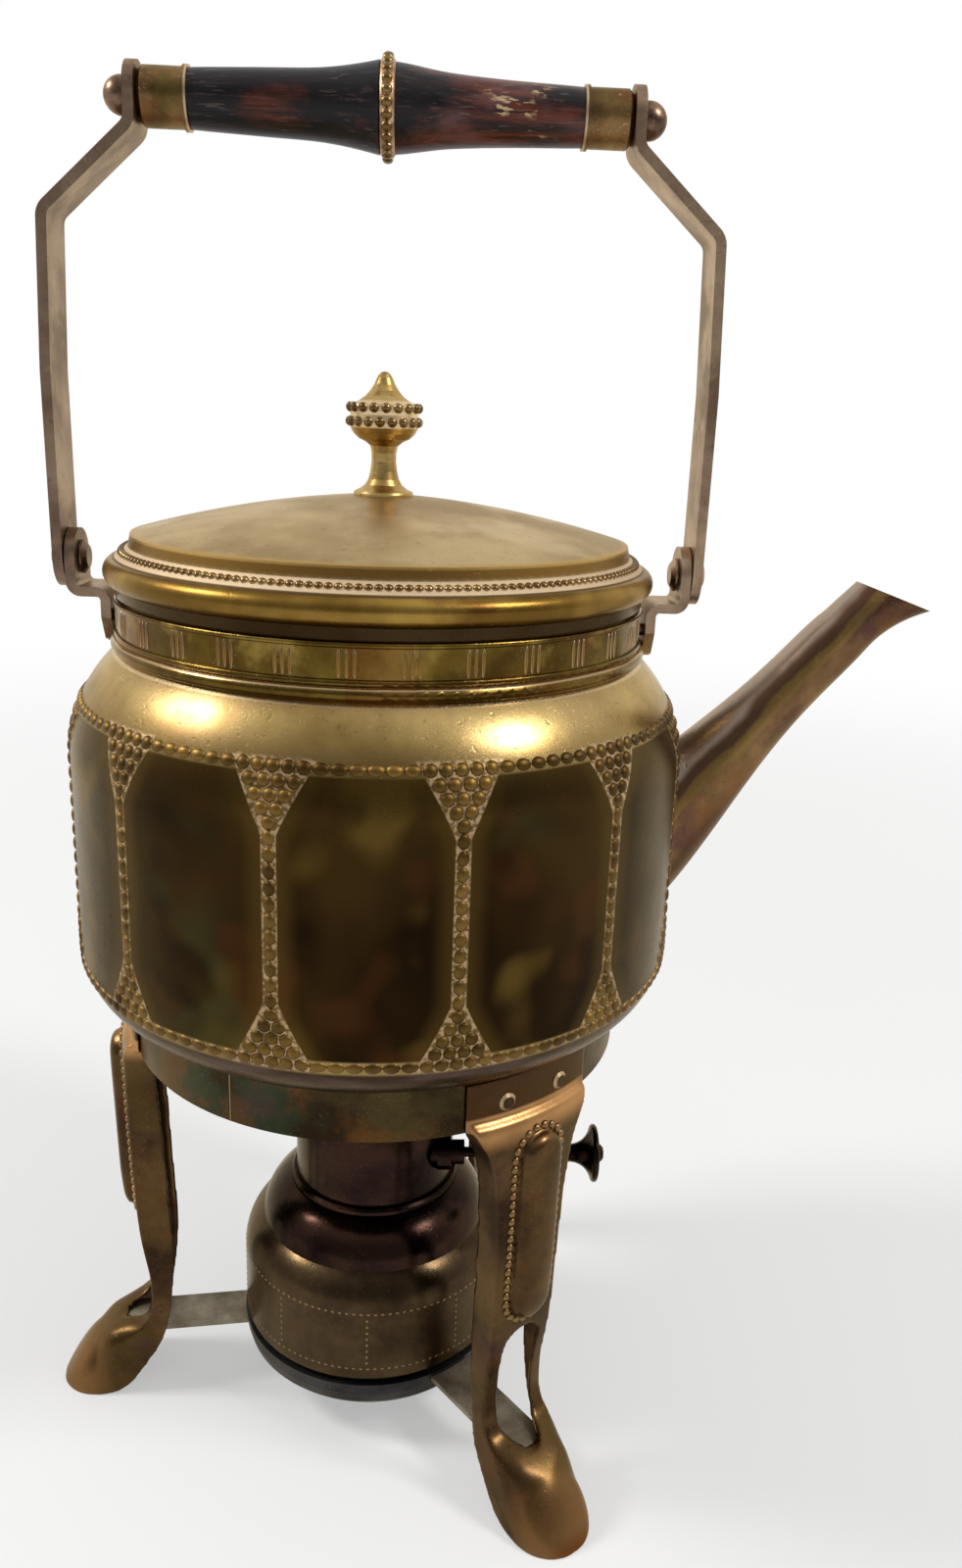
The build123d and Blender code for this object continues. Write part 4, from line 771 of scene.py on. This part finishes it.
def spot_at(skin, azimuth, height, length, width, rise, tall=False):
    """A bead on the skin, with its length lying round the kettle, or upright where it is tall."""
    place, facing = on_skin(skin, azimuth, height)
    around = Vector((-math.sin(math.radians(azimuth)), math.cos(math.radians(azimuth)), 0))
    along = facing.cross(around) if tall else around
    return place, facing, along, length, width, rise


body_skin = skin_of("kettle_body")
print("top row sits at radius", round(skin_radius(body_skin, 90, TOP_ROW_Z), 2), "mm")

# %% [markdown]
# ## Beads of the body
#
# Each column has a triangle of round beads under the shoulder, a single file of upright
# ovals down the wall, and a triangle that stands on the lower row. Lying ovals join the
# triangles at the top and at the bottom. The beads are low, about 0.8 mm, because the
# punch only dents the sheet.

# %% Embossed pattern
BEAD_ACROSS = 3.45
BEAD_RISE = 0.9
OVAL_WIDE = 3.05
OVAL_RISE = 0.85
OVALS = 11
ROW_OVALS = 6
OVERLAP = 0.1
ROW_OVERLAP = 0.15

bead_brass = Finish("bead_brass")
crown = bead_brass.stored("crown")
top = bead_brass.over(
    hue(74, 54, 26),
    (hue(128, 100, 50), bead_brass.patch(0.02, 0.5, 3, 0.15)),
    (hue(64, 40, 20), bead_brass.patch(0.012, 0.3, 6, 0.08) * 0.5))
bead_brass.set(Base_Color=bead_brass.over(hue(196, 172, 138), (top, bead_brass.spread(crown, 0.05, 0.3))),
               Roughness=0.5 - bead_brass.spread(crown, 0.3, 0.9) * 0.06,
               Normal=bead_brass.bump(bead_brass.cloud(0.0008, 4), 0.00004, 0.5))

cluster_rise = CLUSTER_ROWS * ROW_STEP - ROW_STEP / 2
oval_step = (TOP_ROW_Z - LOW_ROW_Z - 2 * cluster_rise) / OVALS
spots = []
for column in range(COLUMNS):
    middle = FIRST_COLUMN + column * 360 / COLUMNS
    for row in range(CLUSTER_ROWS):
        count = CLUSTER_ROWS - row
        for height in (TOP_ROW_Z - row * ROW_STEP, LOW_ROW_Z + row * ROW_STEP):
            reach = skin_radius(body_skin, middle, height)
            for bead in range(count):
                offset = (bead - (count - 1) / 2) * BEAD_STEP
                spots.append(spot_at(body_skin, middle + math.degrees(offset / reach), height,
                                     BEAD_ACROSS, BEAD_ACROSS, BEAD_RISE))
    for oval in range(OVALS):
        height = TOP_ROW_Z - cluster_rise - (oval + 0.5) * oval_step
        spots.append(spot_at(body_skin, middle, height, oval_step + OVERLAP, OVAL_WIDE, OVAL_RISE, tall=True))
    for height in (TOP_ROW_Z, LOW_ROW_Z):
        reach = skin_radius(body_skin, middle, height)
        cluster = math.degrees(CLUSTER_ROWS * BEAD_STEP / 2 / reach)
        step = (360 / COLUMNS - 2 * cluster) / ROW_OVALS
        length = math.radians(step) * reach + ROW_OVERLAP
        for oval in range(ROW_OVALS):
            azimuth = middle + cluster + (oval + 0.5) * step
            spots.append(spot_at(body_skin, azimuth, height, length, OVAL_WIDE, OVAL_RISE))
bead_piece("body_beads", "kettle", spots, bead_brass, sides=10, rings=6)

# %% [markdown]
# ## Reeding of the neck band
#
# Round the neck runs a band with thirty groups of three upright reeds between two
# mouldings. Each reed is a very long, thin bead, so the same tree makes them.

# %% Reeds
REED_Z = 241.0
REED_LONG = 7.6
REED_WIDE = 1.05
REED_RISE = 0.45
REED_STEP = 1.75
BAND_R = 69.0

reed_brass = bead_finish("reed_brass", hue(206, 178, 146), hue(128, 100, 50), (0.3, 0.7), 0.3, 0.1, 3)
red = reed_brass.patch(0.012, 0.3, 2, 0.1) * 0.5
reed_brass.set(Base_Color=reed_brass.over(reed_brass.colour, (hue(112, 66, 42), red)))

band_skin = skin_of("neck_band")
spots = []
for group in range(BAND_CELLS):
    for reed in (-1, 0, 1):
        azimuth = group * 360 / BAND_CELLS + BAND_PHASE + math.degrees(reed * REED_STEP / BAND_R)
        spots.append(spot_at(band_skin, azimuth, REED_Z, REED_LONG, REED_WIDE, REED_RISE, tall=True))
bead_piece("neck_reeds", "kettle", spots, reed_brass, sides=8, rings=8)

# %% [markdown]
# ## Beads of the lid, its knob and the grip
#
# A fine bead row lies in the shelf round the dome, full of dried polish. The knob carries
# two rows like a crown, and a beaded ring parts the two halves of the grip. All three are
# circles of beads, so one function lays a circle about an axis; the shelf and the knob turn
# about Z, and the grip's ring about X.

# %% Circles of beads
LID_BEADS = 194
LID_BEAD_R = 67.1
LID_BEAD_Z = 257.45
LID_BEAD = 2.15
LID_BEAD_RISE = 0.9
SHELF_WIDE = 3.91
SHELF_FALL = 2.8
KNOB_BEADS = 18
KNOB_BEAD_R = 8.9
KNOB_ROWS_Z = (290.6, 294.1)
KNOB_BEAD = 2.7
KNOB_BEAD_RISE = 1.25


def bead_circle(centre, axis, radius, count, across, rise, tilt=0.0, phase=0.0):
    """Beads round a circle about an axis, facing outwards and tilted towards the axis by tilt degrees."""
    axis = Vector(axis)
    first = axis.orthogonal().normalized()
    second = axis.cross(first)
    lean = math.radians(tilt)
    found = []
    for index in range(count):
        angle = 2 * math.pi * (index + phase) / count
        out = math.cos(angle) * first + math.sin(angle) * second
        facing = math.cos(lean) * out + math.sin(lean) * axis
        found.append((Vector(centre) + radius * out, facing, axis.cross(out), across, across, rise))
    return found


dusty_bead = Finish("dusty_bead_brass")
crown = dusty_bead.stored("crown")
dusty_bead.set(
    Base_Color=dusty_bead.over(
        hue(206, 184, 152),
        (hue(104, 80, 46), dusty_bead.spread(crown, 0.1, 0.45)),
        (hue(188, 160, 110), dusty_bead.patch(0.01, 0.4, 5, 0.1) * 0.35)),
    Roughness=0.4 - dusty_bead.spread(crown, 0.4, 0.9) * 0.12)

shelf_slope = math.degrees(math.atan2(SHELF_WIDE, SHELF_FALL))
shelf_row = bead_circle((0, 0, LID_BEAD_Z), (0, 0, 1), LID_BEAD_R, LID_BEADS, LID_BEAD, LID_BEAD_RISE,
                        shelf_slope)
bead_piece("lid_beads", "lid", shelf_row, dusty_bead, sides=8, rings=6)
crown_spots = []
for row, height in enumerate(KNOB_ROWS_Z):
    crown_spots += bead_circle((0, 0, height), (0, 0, 1), KNOB_BEAD_R, KNOB_BEADS, KNOB_BEAD, KNOB_BEAD_RISE,
                               phase=row / 2)
bead_piece("knob_beads", "lid", crown_spots, dusty_bead, sides=10, rings=8)

# %% [markdown]
# ### The beaded ring of the grip
#
# The ring between the two halves is cast with beads all round its rim, so a plain ring
# with beads stuck on top would stand too proud. The core is turned a little smaller than
# the solid and the beads bring it back to full size. Turning means spinning a profile about
# the axis; the doubles at the seam are merged and the normals recalculated afterwards.

# %% Turned ring
GRIP_Z = 363.1
GRIP_RING_R = 12.0
RING_BEADS = 26
RING_BEAD = 2.75
RING_BEAD_RISE = 1.0
CORE_HALF = 2.0
CORE_R = 9.5
CORE_ROUND = 1.4
CORE_BORE = 3.0
TURNED_SIDES = 96


def turned(name, profile, axis, centre, finish):
    """Profile of (distance along, radius) points in mm, closed, turned about an axis through a centre."""
    form = bmesh.new()
    axis = Vector(axis)
    out = axis.orthogonal().normalized()
    ring = [form.verts.new(Vector(centre) + axis * along + out * radius) for along, radius in profile]
    edges = [form.edges.new((a, b)) for a, b in zip(ring, ring[1:] + ring[:1])]
    bmesh.ops.spin(form, geom=ring + edges, cent=Vector(centre), axis=axis, angle=2 * math.pi,
                   steps=TURNED_SIDES, use_duplicate=False)
    bmesh.ops.remove_doubles(form, verts=form.verts, dist=0.001)
    bmesh.ops.recalc_face_normals(form, faces=form.faces)
    bmesh.ops.scale(form, vec=(MM, MM, MM), verts=form.verts)
    mesh = bpy.data.meshes.new(name)
    form.to_mesh(mesh)
    form.free()
    mesh.materials.append(finish.material)
    mesh.shade_smooth()
    return in_scene(name, mesh)


arc = [math.radians(d) for d in range(-90, 91, 15)]
core = [(CORE_HALF * math.sin(a), CORE_R + CORE_ROUND * math.cos(a)) for a in arc]
core = [(-CORE_HALF, CORE_BORE)] + core + [(CORE_HALF, CORE_BORE)]
ring_core = turned("grip_ring_core", core, (1, 0, 0), (0, 0, GRIP_Z), worn_copper)
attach(ring_core, "bail")
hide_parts("grip_ring")
ring_spots = bead_circle((0, 0, GRIP_Z), (1, 0, 0), GRIP_RING_R - RING_BEAD_RISE + SINK, RING_BEADS, RING_BEAD,
                         RING_BEAD_RISE)
bead_piece("grip_ring_beads", "bail", ring_spots, dusty_bead, sides=12, rings=8)

# %% [markdown]
# ## Pressed legs with soft edges
#
# The legs are pressed from sheet, so no edge on them is sharp, and each foot swells into a
# slipper with a domed top. A bevel would trip over the dense, uneven triangles of the
# solid, so each leg is remeshed into small even squares and smoothed, which rounds every
# edge by about the sheet's own thickness. The foot is then domed by rule: a point keeps
# its height on the foot's middle line and loses more of it the nearer it lies to the side.
# The long panel swells by rule too, most along the line down its middle.

# %% Softened legs
VOXEL = 0.5
SMOOTHING = 14
WELD = 0.02
FOOT_CENTRE_R = 85.4
FOOT_HALF = 11.4
FOOT_START = 70.0
FOOT_CEILING = 32.0
SIDE_SHARE = 0.1
SLIM_POWER = 2.2
FULL_POWER = 6.0
ARM_TIP_R = 81.2
PAD_FACE_R = (74.4, 75.4)
PAD_HALF = 6.3
PAD_CROWN = 1.1
PAD_SPINE = (67.9, 112.6)


def eased(value, low, high):
    """0 at low and 1 at high, with soft ends."""
    share = min(max((value - low) / (high - low), 0.0), 1.0)
    return share * share * (3 - 2 * share)


def domed(point):
    """A point of a leg that points along +X, in mm: foot's sides drawn down, panel crowned."""
    toe = eased(point.x, FOOT_START, FOOT_CENTRE_R) * eased(point.z, FOOT_CEILING, 0.7 * FOOT_CEILING)
    aside = math.hypot(max(point.x - FOOT_CENTRE_R, 0.0), point.y) / FOOT_HALF
    power = SLIM_POWER + (FULL_POWER - SLIM_POWER) * eased(point.x, ARM_TIP_R + 5.0, ARM_TIP_R - 1.0)
    kept = SIDE_SHARE + (1 - SIDE_SHARE) * math.sqrt(max(1 - aside ** power, 0.0))
    past_end = point.z - min(max(point.z, PAD_SPINE[0]), PAD_SPINE[1])
    pad = eased(point.x, *PAD_FACE_R) * max(1 - (point.y ** 2 + past_end ** 2) / PAD_HALF ** 2, 0.0)
    return Vector((point.x + PAD_CROWN * pad, point.y, point.z * (1 - toe * (1 - kept))))


def soft_leg(leg):
    form = bmesh.new()
    form.from_mesh(nodes["leg_" + leg].data)
    bmesh.ops.remove_doubles(form, verts=form.verts, dist=WELD * MM)
    mesh = bpy.data.meshes.new("leg")
    form.to_mesh(mesh)
    form.free()
    rough = in_scene("leg", mesh)
    remesh = rough.modifiers.new("even squares", "REMESH")
    remesh.mode = "VOXEL"
    remesh.voxel_size = VOXEL * MM
    smooth = rough.modifiers.new("soft edges", "SMOOTH")
    smooth.factor = 0.5
    smooth.iterations = SMOOTHING
    made = bpy.data.meshes.new_from_object(rough.evaluated_get(bpy.context.evaluated_depsgraph_get()))
    bpy.data.objects.remove(rough)
    turn = Matrix.Rotation(math.radians(LEG_AZIMUTHS[leg]), 3, "Z")
    for vertex in made.vertices:
        vertex.co = turn @ domed(turn.transposed() @ vertex.co / MM) * MM
    made.materials.clear()
    made.materials.append(leg_brass.material)
    made.shade_smooth()
    piece = in_scene(f"leg_{leg}_pressed", made)
    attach(piece, "stand")
    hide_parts("leg_" + leg)
    print(piece.name, len(made.polygons), "faces")


for leg in LEG_AZIMUTHS:
    soft_leg(leg)

# %% [markdown]
# ### Bead line round each leg's panel
#
# The raised panel pressed into each leg is framed by a line of small beads. The frame is a
# long oval a little larger than the panel. Its points are walked at an even step and sent
# as rays to the leg, which is curved, so the beads follow the leg by themselves.

# %% Frames of the leg panels
FRAME_HALF = 7.6
FRAME_LOW = 60.3
FRAME_HIGH = 120.2
FRAME_R = 73.3
LEG_BEAD_STEP = 2.65
LEG_BEAD = 2.6
LEG_BEAD_RISE = 0.9


def long_oval(half, low, high, step):
    """Points at an even step round an upright slot shape, as offset across and height."""
    middle = (low + high) / 2
    straight = high - low - 2 * half
    side = straight + math.pi * half
    count = round(2 * side / step)
    found = []
    for index in range(count):
        turn, run = divmod(index * 2 * side / count, side)
        flip = 1 - 2 * turn
        across, above = half, run - straight / 2
        if run > straight:
            angle = (run - straight) / half
            across, above = half * math.cos(angle), straight / 2 + half * math.sin(angle)
        found.append((flip * across, middle + flip * above))
    return found


leg_bead = bead_finish("leg_bead_brass", hue(52, 36, 24), hue(136, 106, 68), (0.15, 0.45), 0.36, 0.08, 5)
rubbed = leg_bead.patch(0.015, 0.35, 3, 0.1) * 0.45
leg_bead.set(Base_Color=leg_bead.over(leg_bead.colour, (hue(176, 144, 98), rubbed)))

frame_line = long_oval(FRAME_HALF, FRAME_LOW, FRAME_HIGH, LEG_BEAD_STEP)
for leg, azimuth in LEG_AZIMUTHS.items():
    leg_skin = skin_of("leg_" + leg)
    spots = []
    for across, height in frame_line:
        beside = azimuth + math.degrees(across / FRAME_R)
        spots.append(spot_at(leg_skin, beside, height, LEG_BEAD, LEG_BEAD, LEG_BEAD_RISE))
    bead_piece(f"leg_{leg}_beads", "stand", spots, leg_bead, sides=8, rings=6)

# %% [markdown]
# ## Dotted lines on the burner's tank
#
# The tank is divided by fine punched dots: a row near its foot, a row at its shoulder and
# upright lines between them. They are under a millimetre across, but they catch the light.

# %% Tank dots
DOT = 0.95
DOT_LONG = 1.33
DOT_RISE = 0.22
DOT_STEP = 2.1
TANK_ROWS = (26.5, 45.5)
ROW_DOTS = 120
TANK_LINES = 9
TANK_FIRST_LINE = -90.5

dot_brass = bead_finish("dot_brass", hue(96, 78, 52), hue(140, 116, 78), (0.2, 0.7), 0.34, 0.1, 5)

tank_skin = skin_of("reservoir")
spots = []
for height in TANK_ROWS:
    for dot in range(ROW_DOTS):
        spots.append(spot_at(tank_skin, dot * 360 / ROW_DOTS, height, DOT_LONG, DOT, DOT_RISE))
line_dots = int((TANK_ROWS[1] - TANK_ROWS[0] - 1.0) / DOT_STEP)
for line in range(TANK_LINES):
    azimuth = TANK_FIRST_LINE + line * 360 / TANK_LINES
    for dot in range(1, line_dots + 1):
        height = TANK_ROWS[0] + dot * DOT_STEP
        spots.append(spot_at(tank_skin, azimuth, height, DOT_LONG, DOT, DOT_RISE, tall=True))
bead_piece("tank_dots", "burner", spots, dot_brass, sides=6, rings=4)

# %% [markdown]
# ## Floor, air and lamps
#
# A plain pale floor carries the shadow. Lamps could be many; two soft ones are enough,
# high on the left and on the right, so that the shoulder shows two highlights. The air is
# white to the camera and to reflections, and dimmer as a light, which keeps colours as they
# are written. Only the low air in front of the kettle is dimmer in reflections, as a room is
# behind whoever looks: bright metal needs something dark to reflect, or it looks like paint.

# %% Floor
SIDE = 6.0
NEAR_FLOOR = 0.25
FAR_FLOOR = 1.3
NEAR_SHINE = 0.4

pale = Finish("pale_floor", 0.0)
grit = pale.cloud(0.4, 2)
pale.set(Base_Color=pale.over(hue(232, 231, 229), (hue(240, 240, 238), grit)), Roughness=0.7 + grit * 0.05)
away = pale.spread(pale.radius(), NEAR_FLOOR, FAR_FLOOR, NEAR_SHINE, 1.0)
rays = pale.node("ShaderNodeLightPath").outputs
seen = pale.maths("MAXIMUM", Amount(pale, rays["Is Camera Ray"]), Amount(pale, rays["Is Glossy Ray"]))
white = pale.node("ShaderNodeEmission", inputs={"Strength": 1.0})
mixed = pale.node("ShaderNodeMixShader", inputs={
    0: seen * away, 1: pale.shader.outputs[0], 2: white.outputs[0]})
feed(pale.tree, pale.output.inputs["Surface"], mixed.outputs[0])

floor_mesh = bpy.data.meshes.new("floor")
corners = [(-SIDE, -SIDE, 0), (SIDE, -SIDE, 0), (SIDE, SIDE, 0), (-SIDE, SIDE, 0)]
floor_mesh.from_pydata(corners, [], [(0, 1, 2, 3)])
floor_mesh.materials.append(pale.material)
in_scene("floor", floor_mesh)
print("floor", 2 * SIDE, "m wide")

# %% Air
AIR_LIGHT = 0.42
ROOM_FRONT = (0.0, -0.87, -0.5)
ROOM_EDGE = (-0.35, 0.6)
DIM_ROOM = 0.3

world = bpy.data.worlds.new("air")
bpy.context.scene.world = world
world.use_nodes = True
world.node_tree.nodes.clear()


def air(kind, settings=None, inputs=None):
    return add_node(world.node_tree, kind, settings, inputs)


def greater(one, other):
    return air("ShaderNodeMath", {"operation": "MAXIMUM"}, {0: one, 1: other}).outputs[0]


ray = air("ShaderNodeLightPath").outputs
shown = greater(greater(ray["Is Camera Ray"], ray["Is Glossy Ray"]), ray["Is Transmission Ray"])
view = air("ShaderNodeTexCoord").outputs["Generated"]
ahead = air("ShaderNodeVectorMath", {"operation": "DOT_PRODUCT"}, {0: view, 1: ROOM_FRONT}).outputs["Value"]
wall = air("ShaderNodeMapRange", {"interpolation_type": "SMOOTHSTEP"},
           {0: ahead, 1: ROOM_EDGE[0], 2: ROOM_EDGE[1], 3: 1.0, 4: DIM_ROOM}).outputs[0]
strength = air("ShaderNodeMapRange", inputs={0: shown, 3: AIR_LIGHT, 4: greater(wall, ray["Is Camera Ray"])})
glow = air("ShaderNodeBackground", inputs={"Color": (1, 1, 1), "Strength": strength.outputs[0]})
air("ShaderNodeOutputWorld", inputs={"Surface": glow.outputs[0]})
print("air as a light:", AIR_LIGHT)

# %% Lamps
LAMP_TARGET = (0, 0, 0.2)


def lamp(name, place, size, watts):
    light = bpy.data.lights.new(name, "AREA")
    light.shape = "DISK"
    light.size = size
    light.energy = watts
    made = in_scene(name, light)
    made.location = place
    made.rotation_euler = (Vector(LAMP_TARGET) - Vector(place)).to_track_quat("-Z", "Y").to_euler()
    print(name, "at", place, "with", watts, "W")


lamp("left_lamp", (-1.15, 0.02, 1.15), 0.38, 13)
lamp("right_lamp", (0.95, -0.45, 1.2), 0.34, 10)

# %% [markdown]
# ## The view transform
#
# The view transform is set to Standard.

# %% View transform
bpy.context.scene.view_settings.view_transform = "Standard"
